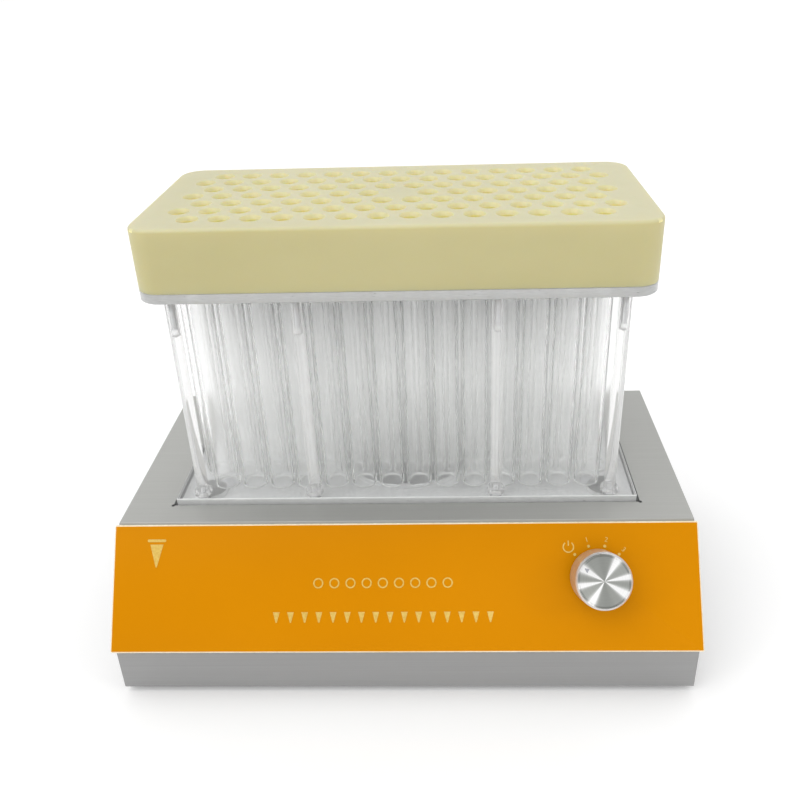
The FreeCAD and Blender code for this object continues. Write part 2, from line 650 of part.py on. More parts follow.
def motor():
    """The motor under the platform: its bracket, can and bearings, and the rotor with two weights."""
    bracket = new_body("motor_bracket", on_rack())
    low = f"{PLATFORM_BOTTOM} - Sizes.bracket_thickness"
    inside = "(Sizes.motor_length + 2 * Sizes.bracket_gap)"
    outside = f"({inside} + 2 * Sizes.bracket_thickness)"
    slab(bracket, outside, "Sizes.bracket_width", "Sizes.bracket_thickness", low)
    legs = new_sketch(bracket, level="Sizes.motor_z - Sizes.bracket_drop")
    for side in (-1, 1):
        rectangle(legs, "Sizes.bracket_thickness", "Sizes.bracket_width",
                  (f"{side} * ({inside} + Sizes.bracket_thickness) / 2", "0"))
    pad(bracket, legs, f"{low} - Sizes.motor_z + Sizes.bracket_drop + 1")
    bores = new_sketch(bracket, "YZ_Plane", level="-Sizes.motor_length")
    circles(bores, [(0, cell("motor_z"))], "Sizes.bearing_radius + 1.4")
    pocket(bracket, bores, "2 * Sizes.motor_length", upward=True)
    clamps = four_ways("clamp_x", "clamp_y")
    drill(bracket, clamps, "Sizes.screw_radius + Sizes.screw_gap", "6", PLATFORM_BOTTOM)
    screws(new_body("bracket_screws", on_rack()), clamps, "Sizes.platform_top", "7")

    can = new_body("motor_can", along_x(0))
    half = "Sizes.motor_length / 2"
    inner = "(Sizes.motor_radius - Sizes.can_wall)"
    seat = "(Sizes.bearing_radius + Sizes.rotor_gap)"
    lid = f"({half} - Sizes.can_wall)"
    revolve(can, [
        (seat, f"-{half}"), ("Sizes.motor_radius", f"-{half}"), ("Sizes.motor_radius", half),
        (seat, half), (seat, lid), (inner, lid), (inner, f"-{lid}"), (seat, f"-{lid}"),
    ])
    bearings = new_body("motor_bearings", along_x(0))
    for level in (f"-{half}", f"{half} - Sizes.bearing_length"):
        discs(bearings, ONE, "Sizes.bearing_radius", "Sizes.bearing_length", level,
              bore="Sizes.rotor_radius + Sizes.screw_gap")
    core = new_body("rotor_core", along_x(0))
    discs(core, ONE, "Sizes.core_radius", "Sizes.core_length", "-Sizes.core_length / 2",
          bore="Sizes.rotor_radius + Sizes.rotor_gap")
    shaft = new_body("rotor_shaft", along_x(0))
    discs(shaft, ONE, "Sizes.rotor_radius", "Sizes.rotor_length", "-Sizes.rotor_length / 2")
    for name, side in (("left", -1), ("right", 1)):
        weight = new_body(f"eccentric_weight_{name}", along_x(0))
        centre = f"{side} * Sizes.weight_x - Sizes.weight_thickness / 2"
        outline = new_sketch(weight, level=centre)
        polygon_half_disc(outline, cell("weight_radius"), cell("weight_hub"))
        circles(outline, ONE, "Sizes.rotor_radius + Sizes.rotor_gap")
        pad(weight, outline, "Sizes.weight_thickness")


def polygon_half_disc(sketch, radius, hub):
    """A half disc on the +X side of the sketch joined to a round hub on the other side."""
    half = math.pi / 2
    big = Part.ArcOfCircle(Part.Circle(V(0, 0, 0), Z_AXIS, radius), -half, half)
    small = Part.ArcOfCircle(Part.Circle(V(0, 0, 0), Z_AXIS, hub), half, 3 * half)
    sketch.addGeometry(big, False)
    sketch.addGeometry(small, False)
    sketch.addGeometry(Part.LineSegment(big.EndPoint, small.StartPoint), False)
    sketch.addGeometry(Part.LineSegment(small.EndPoint, big.StartPoint), False)


def electrical():
    """The power inlet and fuse at the back, the supply, and the control board on its standoffs."""
    inlet = new_body("power_inlet", on_rear(cell("inlet_x"), cell("inlet_z")))
    slab(inlet, "Sizes.flange_width", "Sizes.flange_height", "Sizes.flange_thickness")
    fillet(inlet, "Sizes.flange_corner", is_upright)
    slab(inlet, "Sizes.inlet_body_width", "Sizes.inlet_body_height", "Sizes.inlet_body_depth",
         "-Sizes.inlet_body_depth")
    socket = new_sketch(inlet, level="Sizes.flange_thickness")
    rectangle(socket, "Sizes.socket_width", "Sizes.socket_height")
    pocket(inlet, socket, "Sizes.socket_deep")
    ears = [(-cell("ear_x"), 0), (cell("ear_x"), 0)]
    face = "Sizes.flange_thickness"
    drill(inlet, ears, "Sizes.screw_radius + Sizes.screw_gap", "4", f"{face} + 1")
    countersinks(inlet, ears, face, "Sizes.ear_head")
    blades = new_body("inlet_blades", on_rear(cell("inlet_x"), cell("inlet_z")))
    outline = new_sketch(blades, level="Sizes.flange_thickness - Sizes.socket_deep")
    for side, drop in ((-1, 0), (1, 0), (0, 1)):
        rectangle(outline, "Sizes.blade_width", "Sizes.blade_height",
                  (f"{side} * Sizes.blade_x", f"-{drop} * Sizes.blade_drop"))
    pad(blades, outline, "Sizes.socket_deep - 3")
    ear_screws = new_body("inlet_screws", on_rear(cell("inlet_x"), cell("inlet_z")))
    screws(ear_screws, ears, face, "8", head="Sizes.ear_head")

    fuse = new_body("fuse_holder", on_rear(cell("fuse_x"), cell("inlet_z")))
    discs(fuse, ONE, "Sizes.fuse_flange", face)
    discs(fuse, ONE, "Sizes.fuse_radius", "Sizes.fuse_length", "-Sizes.fuse_length")
    drill(fuse, ONE, "Sizes.cap_radius + 0.1", "Sizes.cap_length + 2", face)
    cap = new_body("fuse_cap", on_rear(cell("fuse_x"), cell("inlet_z")))
    discs(cap, ONE, "Sizes.cap_radius", "Sizes.cap_length", f"{face} - Sizes.cap_length")
    slot = new_sketch(cap, level=face)
    rectangle(slot, "5", "1")
    pocket(cap, slot, "1.2")

    board_at = placed(cell("board_x"), cell("board_y"), 0)
    holes = four_ways("board_hole_x", "board_hole_y")
    standoffs = new_body("board_standoffs", board_at)
    discs(standoffs, holes, "Sizes.standoff_radius", "Sizes.board_lift", COVER_TOP)
    board_low = f"({COVER_TOP} + Sizes.board_lift)"
    board_top = f"({board_low} + Sizes.board_thickness)"
    board = new_body("control_board", board_at)
    slab(board, "Sizes.board_length", "Sizes.board_width", "Sizes.board_thickness", board_low)
    drill(board, holes, "Sizes.screw_radius + Sizes.screw_gap", "4", f"{board_top} + 1")
    drill(standoffs, holes, "Sizes.screw_radius", "6", board_low)
    fitted = new_body("board_components", board_at)
    slab(fitted, "16", "12", "10", board_top, ("-18", "0"))
    slab(fitted, "12", "8", "8", board_top, ("22", "4"))
    discs(fitted, [(0, -4), (9, -4)], "4", "11", board_top)

    supply = new_body("power_supply", placed(-cell("board_x"), cell("board_y"), 0))
    slab(supply, "Sizes.supply_length", "Sizes.supply_width", "Sizes.supply_height", COVER_TOP)
    fillet(supply, "Sizes.supply_corner", is_upright)
    screws(new_body("board_screws", board_at), holes, board_top, "6",
           "Sizes.screw_radius - Sizes.screw_gap", "Sizes.standoff_radius - 0.2", flush=False)


def lead(label, corners, bend):
    """A wire bundle along straight runs joined by round bends of one radius."""
    points = [V(*corner) for corner in corners]
    edges = []
    start = points[0]
    for before, corner, after in zip(points, points[1:], points[2:]):
        back = (before - corner).normalize()
        ahead = (after - corner).normalize()
        reach = bend / math.tan(back.getAngle(ahead) / 2)
        enter = corner + back * reach
        leave = corner + ahead * reach
        middle = (back + ahead).normalize()
        centre_far = math.hypot(bend, reach)
        through = corner + middle * (centre_far - bend)
        edges.append(Part.LineSegment(start, enter).toShape())
        edges.append(Part.Arc(enter, through, leave).toShape())
        start = leave
    edges.append(Part.LineSegment(start, points[-1]).toShape())
    path = Part.Wire(edges)
    ring = Part.Wire(Part.Circle(points[0], points[1] - points[0], cell("lead_radius")).toShape())
    solid = path.makePipeShell([ring], True, False)
    feature = doc.addObject("Part::Feature", label)
    feature.Label = label
    feature.Shape = solid
    feature.Placement = FreeCAD.Placement()


def leads():
    """The wire bundles clipped along the floor, clear of everything that shakes."""
    x, z = cell("inlet_x"), cell("inlet_z")
    back = cell("base_rear") - cell("inlet_body_depth")
    floor = 12
    lead("inlet_leads", [(x, back, z), (x, back - 14, z), (x, back - 14, floor), (x, -28, floor)], 6)
    x = cell("knob_across")
    lead("switch_leads", [(x, -38, 19), (x, -28, 19), (x, -28, 31.6), (x, -50.8, 43.2)], 4)


def rack():
    """The clear rack: two decks, eight rods with foot collars, and one hundred tubes in seven rows."""
    rows = tube_rows()
    every_tube = [place for row in rows for place in row]
    deck = new_body("rack_bottom_deck", on_rack())
    slab(deck, "Sizes.deck_width", "Sizes.deck_depth", "Sizes.deck_thickness",
         "Sizes.deck_top - Sizes.deck_thickness")
    drill(deck, every_tube, "Sizes.seat_radius", "Sizes.seat_depth", "Sizes.deck_top")
    low = "Sizes.deck_top - Sizes.deck_thickness"
    drill(deck, rod_places(), "Sizes.rod_tap_radius", "Sizes.deck_thickness + 2", "Sizes.deck_top + 1")
    countersinks(deck, rod_places(), low, upward=True)

    upper = new_body("rack_top_deck", on_rack())
    slab(upper, "Sizes.top_width", "Sizes.top_depth", "Sizes.top_thickness", RACK_TOP)
    fillet(upper, "Sizes.corner_radius", is_upright)
    roof = f"({RACK_TOP} + Sizes.top_thickness)"
    drill(upper, every_tube, "Sizes.tube_bore", "Sizes.top_thickness + 2", f"{roof} + 1")
    drill(upper, every_tube, "Sizes.seat_radius", "Sizes.seat_depth + 1",
          f"{RACK_TOP} + Sizes.seat_depth")
    pins = four_ways("pin_x", "pin_y")
    drill(upper, pins, "Sizes.pin_radius + 0.02", "Sizes.top_thickness - 1", roof)
    drill(upper, rod_places(), "Sizes.rod_tap_radius", "Sizes.top_thickness + 2", f"{roof} + 1")
    countersinks(upper, rod_places(), roof)
    locating = new_body("locating_pins", on_rack())
    discs(locating, pins, "Sizes.pin_radius", "Sizes.pin_height + Sizes.top_thickness - 1",
          f"{RACK_TOP} + 1")
    chamfer(locating, "Sizes.pin_nose", lies_at(number(f"{roof} + Sizes.pin_height")))

    for name, signs in (("rods_front", (-1,)), ("rods_rear", (1,))):
        rods = new_body(name, on_rack())
        discs(rods, rod_places(signs), "Sizes.rod_radius", "Sizes.tube_height", "Sizes.deck_top")
        taps = rod_places(signs)
        drill(rods, taps, "Sizes.rod_tap_radius", "Sizes.upper_tap", RACK_TOP)
        drill(rods, taps, "Sizes.rod_tap_radius", "Sizes.lower_tap + 1",
              "Sizes.deck_top + Sizes.lower_tap")
    collars = new_body("rod_collars", on_rack())
    discs(collars, rod_places(), "Sizes.collar_radius", "Sizes.collar_height", "Sizes.deck_top",
          bore="Sizes.rod_radius + 0.05")
    for index, row in enumerate(rows):
        tubes = new_body(f"tube_row_{index + 1}", on_rack())
        discs(tubes, row, "Sizes.tube_radius", "Sizes.tube_height + 2 * Sizes.seat_depth",
              "Sizes.deck_top - Sizes.seat_depth", bore="Sizes.tube_bore")
    fixing = new_body("rack_screws", on_rack())
    screws(fixing, rod_places(), roof, "Sizes.upper_screw")
    screws(fixing, rod_places(), low, "Sizes.lower_screw", upward=True)


def tray():
    """The thick moulded tray that funnels powder into the tubes, with sockets for the rack's pins."""
    body = new_body("funnel_tray", on_rack())
    base = f"({RACK_TOP} + Sizes.top_thickness)"
    roof = f"({base} + Sizes.tray_height)"
    every_tube = [place for row in tube_rows() for place in row]
    slab(body, "Sizes.top_width", "Sizes.top_depth", "Sizes.tray_height", base)
    fillet(body, "Sizes.corner_radius", is_upright)
    fillet(body, "Sizes.tray_rim", lies_at(number(roof)))
    drill(body, every_tube, "Sizes.funnel_radius", "Sizes.tray_height + 2", f"{roof} + 1")
    drill(body, every_tube, "Sizes.funnel_radius + Sizes.funnel_bevel", "Sizes.funnel_bevel", roof,
          taper=-45)
    drill(body, four_ways("pin_x", "pin_y"), "Sizes.socket_radius", "Sizes.socket_depth + 1",
          f"{base} + Sizes.socket_depth")


def check_and_write():
    """Stops on any failed object or bad shape, then writes each sub-part to its own file."""
    doc.recompute()
    for item in doc.Objects:
        if {"Invalid", "Error"} & set(item.State):
            raise RuntimeError(f"{item.Name} is {item.State}")
    parts = [o for o in doc.Objects if o.TypeId in ("PartDesign::Body", "Part::Feature")
             and not o.getParentGeoFeatureGroup()]
    for part in parts:
        if part.Shape.isNull() or not part.Shape.isValid():
            raise RuntimeError(f"{part.Label} has a bad shape")
    os.makedirs("parts", exist_ok=True)
    for part in parts:
        part.Shape.exportStep(f"parts/{part.Label}.step")
    box = FreeCAD.BoundBox()
    for part in parts:
        box.add(part.Shape.BoundBox)
    print(len(parts), "sub-parts; outer box", box)


fill_sheet()
housing_shell()
front_panel()
printed_marks()
bottom_cover()
mounting_blocks()
cover_screws()
feet()
control_switch()
knob()
platform()
motor()
electrical()
leads()
rack()
tray()
check_and_write()
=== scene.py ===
import json
import math

import bmesh
import bpy
from mathutils import Matrix, Vector, geometry


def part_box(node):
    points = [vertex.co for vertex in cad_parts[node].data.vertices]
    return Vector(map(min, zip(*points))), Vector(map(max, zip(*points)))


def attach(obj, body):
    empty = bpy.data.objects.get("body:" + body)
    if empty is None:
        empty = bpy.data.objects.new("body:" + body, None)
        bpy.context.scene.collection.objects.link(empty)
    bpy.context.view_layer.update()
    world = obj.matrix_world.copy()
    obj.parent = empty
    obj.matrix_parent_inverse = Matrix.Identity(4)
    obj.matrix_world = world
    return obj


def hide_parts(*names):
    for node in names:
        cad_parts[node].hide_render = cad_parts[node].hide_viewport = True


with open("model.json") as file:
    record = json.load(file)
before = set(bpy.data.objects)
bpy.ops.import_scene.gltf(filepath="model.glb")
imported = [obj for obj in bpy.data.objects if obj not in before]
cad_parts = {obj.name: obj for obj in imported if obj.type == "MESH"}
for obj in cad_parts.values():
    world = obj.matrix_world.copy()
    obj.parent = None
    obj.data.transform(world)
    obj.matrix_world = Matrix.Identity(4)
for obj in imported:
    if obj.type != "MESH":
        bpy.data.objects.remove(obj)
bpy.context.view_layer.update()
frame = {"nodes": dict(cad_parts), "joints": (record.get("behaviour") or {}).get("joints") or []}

# A vibrating filling stand for paper cones: steel base, orange panel, clear tube rack, cream tray.
# Metres, in the CAD frame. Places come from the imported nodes' boxes.

MM = 0.001
ROUND = 48          # sides of a small round
SAME_LEVEL = 1e-7   # heights or radii closer than this are equal


# ---------------------------------------------------------------- places taken from the frame

def span(node):
    """Lowest corner, highest corner, middle and size of a CAD node."""
    low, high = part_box(node)
    return low, high, (low + high) / 2, high - low


def joint(name):
    return next(j for j in frame["joints"] if j["name"] == name)


def tube_cells():
    """The (x, y) of every tube, row by row from the front. The middle of the rack has no tube."""
    rows = [span(f"tube_row_{i}") for i in range(1, TUBE_ROWS + 1)]
    wide = 2 * TUBE_RADIUS
    pitch = rows[1][3].x - rows[0][3].x
    cells = []
    for low, _, middle, size in rows:
        count = round((size.x - wide) / pitch) + 1
        xs = [low.x + TUBE_RADIUS + k * pitch for k in range(count)]
        cells.append([(x, middle.y) for x in xs])
    centre = TUBE_ROWS // 2
    cells[centre] = [cell for cell in cells[centre] if abs(cell[0]) > pitch / 2]
    return cells


TUBE_ROWS = 7
TUBE_RADIUS = span("tube_row_1")[3].y / 2
TUBE_BORE = 5.3 * MM
SEAT_RADIUS = 7.05 * MM
SEAT_DEPTH = 1 * MM
ROD_RADIUS = span("rods_front")[3].y / 2
ROD_TAP = 1.55 * MM
SCREW_HEAD = 3.05 * MM
FUNNEL_RADIUS = 4 * MM
FUNNEL_MOUTH = 5.7 * MM
PIN_RADIUS = 2.5 * MM
RACK_CORNER = 12 * MM
HAIR = 0.02 * MM    # the gap left between clear pieces that touch in the CAD model
CELLS = tube_cells()
ALL_CELLS = [cell for row in CELLS for cell in row]
INNER_ROD_X = 48.3 * MM


def rod_places():
    """The (x, y) of the eight rods, the front four first."""
    places = []
    for node in ("rods_front", "rods_rear"):
        _, high, middle, _ = span(node)
        outer = high.x - ROD_RADIUS
        places += [(x, middle.y) for x in (-outer, -INNER_ROD_X, INNER_ROD_X, outer)]
    return places


RODS = rod_places()


def pin_places():
    low, high, _, _ = span("locating_pins")
    xs = (low.x + PIN_RADIUS, high.x - PIN_RADIUS)
    ys = (low.y + PIN_RADIUS, high.y - PIN_RADIUS)
    return [(x, y) for y in ys for x in xs]


PINS = pin_places()


# ---------------------------------------------------------------- mesh helpers

def make_piece(name, bm, material, body, replaced, crease=35):
    """Turns a bmesh into a smooth-shaded piece that rides on a body."""
    mesh = bpy.data.meshes.new(name)
    bmesh.ops.recalc_face_normals(bm, faces=bm.faces)
    bm.to_mesh(mesh)
    bm.free()
    mesh.shade_smooth()
    mesh.set_sharp_from_angle(angle=math.radians(crease))
    piece = bpy.data.objects.new(name, mesh)
    bpy.context.scene.collection.objects.link(piece)
    mesh.materials.append(material)
    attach(piece, body)
    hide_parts(*replaced)
    return piece


def ring(bm, centre, radius, z, segments):
    """A level ring of vertices."""
    steps = [2 * math.pi * k / segments for k in range(segments)]
    return [bm.verts.new((centre[0] + radius * math.cos(a), centre[1] + radius * math.sin(a), z))
            for a in steps]


def bridge(bm, lower, upper):
    """Quads between two loops of the same length."""
    count = len(lower)
    for k in range(count):
        after = (k + 1) % count
        bm.faces.new((lower[k], lower[after], upper[after], upper[k]))


def turned(bm, outline, centre=(0, 0), segments=ROUND, closed=True):
    """A turned solid from (radius, z) points. A radius of nothing makes a pole."""
    loops = []
    for radius, z in outline:
        if radius < SAME_LEVEL:
            loops.append(bm.verts.new((centre[0], centre[1], z)))
        else:
            loops.append(ring(bm, centre, radius, z, segments))
    pairs = list(zip(loops, loops[1:]))
    if closed:
        pairs.append((loops[-1], loops[0]))
    for a, b in pairs:
        if isinstance(a, list) and isinstance(b, list):
            bridge(bm, a, b)
        elif isinstance(a, list) or isinstance(b, list):
            pole, loop = (b, a) if isinstance(a, list) else (a, b)
            for k in range(len(loop)):
                bm.faces.new((pole, loop[k], loop[(k + 1) % len(loop)]))


def arc(cx, cy, radius, start, end, steps):
    """Points along an arc, angles in degrees."""
    angles = [math.radians(start + (end - start) * k / steps) for k in range(steps + 1)]
    return [(cx + radius * math.cos(a), cy + radius * math.sin(a)) for a in angles]


def rounded_rectangle(size_x, size_y, radius, inset, steps, centre=(0, 0)):
    """The outline of a rectangle with round corners, drawn in by an inset."""
    hx = size_x / 2 - inset
    hy = size_y / 2 - inset
    sharpest = 0.05 * MM
    r = max(radius - inset, sharpest)
    points = []
    for sx, sy, start in ((1, -1, -90), (1, 1, 0), (-1, 1, 90), (-1, -1, 180)):
        cx = centre[0] + sx * (hx - r)
        cy = centre[1] + sy * (hy - r)
        points += arc(cx, cy, r, start, start + 90, steps)
    return points


def fill_between(bm, outer, holes, upward):
    """Triangles over a level face between an outer loop and round hole loops of vertices.

    Each loop's vertices know which loop they are in, so a triangle inside a hole is left out.
    """
    flat, edges, owners, loop_of = [], [], [], []
    for index, loop in enumerate([outer] + holes):
        first = len(flat)
        flat += [v.co.xy / MM for v in loop]
        owners += loop
        loop_of += [index] * len(loop)
        edges += [(first + k, first + (k + 1) % len(loop)) for k in range(len(loop))]
    inside_outline, nearest = 1, 1e-5
    _, _, faces, sources, _, _ = geometry.delaunay_2d_cdt(flat, edges, [], inside_outline, nearest)
    for face in faces:
        corners = [sources[i][0] for i in face]
        loops = {loop_of[i] for i in corners}
        if len(loops) == 1 and loops != {0}:
            continue
        corners = [owners[i] for i in corners]
        bm.faces.new(corners if upward else corners[::-1])


def drilled_plate(outline, levels, holes, segments=32, rim_slot=0):
    """A plate with a shaped rim, which may have its own material slot, and shaped round holes.

    levels holds (inset, z) pairs from the bottom of the rim to its top, and outline(inset) gives a
    loop of points. Each hole is (centre, steps), where steps holds (radius, z) from the top face
    down; a hole whose last z is above the bottom face is blind.
    """
    bm = bmesh.new()
    rim = []
    for inset, z in levels:
        rim.append([bm.verts.new((x, y, z)) for x, y in outline(inset)])
    for lower, upper in zip(rim, rim[1:]):
        bridge(bm, lower, upper)
    for face in bm.faces:
        face.material_index = rim_slot
    bottom_z = levels[0][1]
    top_z = levels[-1][1]
    top_loops, bottom_loops = [], []
    for centre, steps in holes:
        loops = [ring(bm, centre, radius, z, segments) for radius, z in steps]
        for upper, lower in zip(loops, loops[1:]):
            bridge(bm, lower, upper)
        if abs(steps[0][1] - top_z) < SAME_LEVEL:
            top_loops.append(loops[0])
        else:
            bm.faces.new(loops[0])
        if abs(steps[-1][1] - bottom_z) < SAME_LEVEL:
            bottom_loops.append(loops[-1])
        else:
            bm.faces.new(loops[-1])
    fill_between(bm, rim[-1], top_loops, True)
    fill_between(bm, rim[0], bottom_loops, False)
    return bm


def annulus(bm, centre, outer, inner, z0, z1, soft):
    """A tube or collar with slightly rounded rims."""
    turned(bm, [
        (outer - soft, z0), (outer, z0 + soft), (outer, z1 - soft), (outer - soft, z1),
        (inner + soft, z1), (inner, z1 - soft), (inner, z0 + soft), (inner + soft, z0),
    ], centre)


def threaded_screw(bm, centre, head_z, tip_z, radius, head_radius, pitch):
    """A flush cross-recess screw with a real helical thread, from its head to its tip along Z."""
    sign = 1 if head_z > tip_z else -1
    around = 16
    per_turn = 6
    cone = head_radius - radius
    neck = 0.3 * MM
    soft = 0.15 * MM
    depth = pitch * 0.45
    point = radius * 0.3
    length = abs(head_z - tip_z)
    start = cone + neck
    count = int((length - start) / pitch * per_turn)
    loops = [ring(bm, centre, head_radius * 0.97, head_z, around),
             ring(bm, centre, head_radius, head_z - sign * soft, around),
             ring(bm, centre, radius, head_z - sign * cone, around)]
    for k in range(count + 1):
        down = start + k * pitch / per_turn
        loop = []
        for j in range(around):
            turn = j / around
            phase = (down / pitch - sign * turn) % 1.0
            fade = min(1.0, (length - down) / pitch)
            r = radius - depth * abs(2 * phase - 1) - (1 - fade) * point
            a = 2 * math.pi * turn
            place = (centre[0] + r * math.cos(a), centre[1] + r * math.sin(a))
            loop.append(bm.verts.new((*place, head_z - sign * down)))
        loops.append(loop)
    for a, b in zip(loops, loops[1:]):
        bridge(bm, a, b)
    bm.faces.new(loops[-1])
    cross_recess(bm, loops[0], centre, head_z, sign, head_radius)


def cross_recess(bm, rim, centre, z, sign, head_radius):
    """Closes a screw's head with a cross-shaped socket."""
    around = len(rim)
    arm = head_radius * 0.62
    notch = head_radius * 0.26
    deep = head_radius * 0.42
    taper = 0.55
    mouth, bottom = [], []
    for k in range(around):
        a = 2 * math.pi * k / around
        quarter = (a / (math.pi / 2)) % 1.0
        on_an_arm = min(quarter, 1 - quarter) < 0.2
        reach = arm if on_an_arm else notch
        x, y = reach * math.cos(a), reach * math.sin(a)
        mouth.append(bm.verts.new((centre[0] + x, centre[1] + y, z)))
        bottom.append(bm.verts.new((centre[0] + taper * x, centre[1] + taper * y, z - sign * deep)))
    bridge(bm, rim, mouth)
    bridge(bm, mouth, bottom)
    bm.faces.new(bottom)


# ---------------------------------------------------------------- materials

class Shader:
    """A node material being built round one Principled shader."""

    def __init__(self, name, **settings):
        self.material = bpy.data.materials.new(name)
        self.material.use_nodes = True
        self.tree = self.material.node_tree
        self.main = self.tree.nodes["Principled BSDF"]
        for socket, value in settings.items():
            self.main.inputs[socket.replace("_", " ")].default_value = value

    def node(self, kind, **settings):
        made = self.tree.nodes.new("ShaderNode" + kind)
        for name, value in settings.items():
            setattr(made, name, value)
        return made

    def link(self, source, target):
        self.tree.links.new(source, target)

    def place(self, scale=(1, 1, 1)):
        """Object coordinates, stretched."""
        coordinates = self.node("TexCoord")
        mapping = self.node("Mapping")
        mapping.inputs["Scale"].default_value = scale
        self.link(coordinates.outputs["Object"], mapping.inputs["Vector"])
        return mapping.outputs["Vector"]

    def noise(self, scale, detail, stretch=(1, 1, 1), rough=0.5):
        texture = self.node("TexNoise")
        texture.inputs["Scale"].default_value = scale
        texture.inputs["Detail"].default_value = detail
        texture.inputs["Roughness"].default_value = rough
        self.link(self.place(stretch), texture.inputs["Vector"])
        return texture.outputs["Fac"]

    def ramp(self, value, stops):
        """Colours along a value, from (position, colour) stops."""
        made = self.node("ValToRGB")
        elements = made.color_ramp.elements
        while len(elements) < len(stops):
            elements.new(0.5)
        for element, (position, colour) in zip(elements, stops):
            element.position = position
            element.color = (*colour, 1)
        self.link(value, made.inputs["Fac"])
        return made.outputs["Color"]

    def between(self, value, low, high):
        """A value from nothing to one, spread over another range."""
        made = self.node("MapRange")
        made.inputs["To Min"].default_value = low
        made.inputs["To Max"].default_value = high
        self.link(value, made.inputs["Value"])
        return made.outputs["Result"]

    def facing(self, axis):
        """The surface's own outward direction along an axis, from minus one to one."""
        surface = self.node("NewGeometry")
        split = self.node("SeparateXYZ")
        self.link(surface.outputs["Normal"], split.inputs["Vector"])
        return split.outputs[axis]

    def facing_up(self):
        """How far the surface faces up: nothing for upright and lower faces, one for level ones."""
        kept = self.node("Clamp")
        self.link(self.facing("Z"), kept.inputs["Value"])
        return kept.outputs["Result"]

    def mix(self, kind, factor, a, b):
        """Two colours or links blended by a number or a link."""
        made = self.node("Mix", data_type="RGBA", blend_type=kind)
        for socket, value in (("Factor", factor), ("A", a), ("B", b)):
            if isinstance(value, bpy.types.NodeSocket):
                self.link(value, made.inputs[socket])
            elif socket == "Factor":
                made.inputs[socket].default_value = value
            else:
                made.inputs[socket].default_value = (*value, 1)
        return made.outputs["Result"]

    def bump(self, heights, depths, strength):
        """Small relief from one or more height values, laid over each other."""
        normal = None
        for height, deep in zip(heights, depths):
            made = self.node("Bump")
            made.inputs["Strength"].default_value = strength
            made.inputs["Distance"].default_value = deep
            self.link(height, made.inputs["Height"])
            if normal:
                self.link(normal, made.inputs["Normal"])
            normal = made.outputs["Normal"]
        self.link(normal, self.main.inputs["Normal"])

    def colour(self, source):
        self.link(source, self.main.inputs["Base Color"])

    def roughness(self, source):
        self.link(source, self.main.inputs["Roughness"])


def cream_plastic(name, lift=1.0):
    """Translucent cast plastic, faintly cloudy. Level faces are painted lighter and greyer than the
    sides, painted light from above. Its bores glow more, which lift stands for: a brighter copy of
    the cream, painted glow.
    """
    s = Shader(name, Subsurface_Weight=0.45, Subsurface_Scale=0.012, IOR=1.48,
               Specular_IOR_Level=0.9)
    s.main.inputs["Subsurface Radius"].default_value = (1.0, 0.75, 0.35)
    clouds = s.noise(14, 4, (1, 1, 1.6))
    # lift brightens the side colour for the bores' copy of this material: painted glow
    sides = s.ramp(clouds, [(0.3, (0.535 * lift, 0.485 * lift, 0.22 * lift)),
                            (0.7, (0.57 * lift, 0.52 * lift, 0.25 * lift))])
    # painted light: level faces get a lighter, greyer colour than the sides, for the light that
    # falls from above
    lit_top_colour = s.ramp(clouds, [(0.3, (0.615, 0.585, 0.36)), (0.7, (0.655, 0.625, 0.40))])
    s.colour(s.mix("MIX", s.facing_up(), sides, lit_top_colour))
    s.roughness(s.between(s.noise(60, 3), 0.34, 0.5))
    s.bump([s.noise(900, 3), s.noise(45, 2)], [0.00003, 0.00025], 0.35)
    return s.material


def steel_sheet():
    """Brushed sheet: long fine strokes along X, and along Y on the two ends. Upright faces have
    a darker tone than level ones, as in the photograph: painted shade for the less light they
    catch.
    """
    tone = 0.5
    s = Shader("brushed_steel", Metallic=0.6, Anisotropic=0.35)
    along_x = s.noise(1.0, 5, (9, 1500, 1500), 0.6)
    along_y = s.noise(1.0, 5, (1500, 9, 1500), 0.6)
    size = s.node("Math", operation="ABSOLUTE")
    s.link(s.facing("X"), size.inputs[0])
    strokes = s.node("Mix", data_type="FLOAT")
    s.link(size.outputs[0], strokes.inputs["Factor"])
    s.link(along_x, strokes.inputs["A"])
    s.link(along_y, strokes.inputs["B"])
    strokes = strokes.outputs["Result"]
    warm = (1.0, 1.005, 0.965)
    # painted light and shade: level faces lighter and a little warm, upright faces darker for the
    # less light they catch
    level = s.ramp(strokes, [(0.25, [tone * 0.95 * w for w in warm]),
                             (0.75, [tone * 1.04 * w for w in warm])])
    upright = s.ramp(strokes, [(0.25, [tone * 0.68] * 3), (0.75, [tone * 0.76] * 3)])
    s.colour(s.mix("MIX", s.facing_up(), upright, level))
    s.roughness(s.between(strokes, 0.48, 0.58))
    s.bump([strokes, s.noise(7, 2)], [0.000004, 0.0002], 0.35)
    return s.material


def plain_metal(name, colour, rough, grain=500, metallic=1.0):
    s = Shader(name, Metallic=metallic)
    spots = s.noise(grain, 4)
    dark = tuple(c * 0.82 for c in colour)
    s.colour(s.ramp(spots, [(0.3, dark), (0.7, colour)]))
    s.roughness(s.between(s.noise(grain / 4, 3), rough * 0.8, rough * 1.25))
    s.bump([spots], [0.00002], 0.4)
    return s.material


def plastic(name, colour, rough, grain=1400, relief=0.00003):
    s = Shader(name)
    s.colour(s.ramp(s.noise(35, 3), [(0.3, tuple(c * 0.85 for c in colour)), (0.7, colour)]))
    s.roughness(s.between(s.noise(90, 2), rough * 0.85, rough * 1.15))
    s.bump([s.noise(grain, 3)], [relief], 0.5)
    return s.material


def orange_acrylic():
    """Deep satin acrylic with a hint of cloud in the colour."""
    s = Shader("orange_acrylic", IOR=1.45, Specular_IOR_Level=0.05)
    s.colour(s.ramp(s.noise(9, 3), [(0.3, (0.70, 0.257, 0.0003)), (0.7, (0.74, 0.275, 0.0006))]))
    s.roughness(s.between(s.noise(40, 3), 0.3, 0.42))
    s.bump([s.noise(16, 2), s.noise(1800, 2)], [0.00012, 0.000006], 0.25)
    return s.material


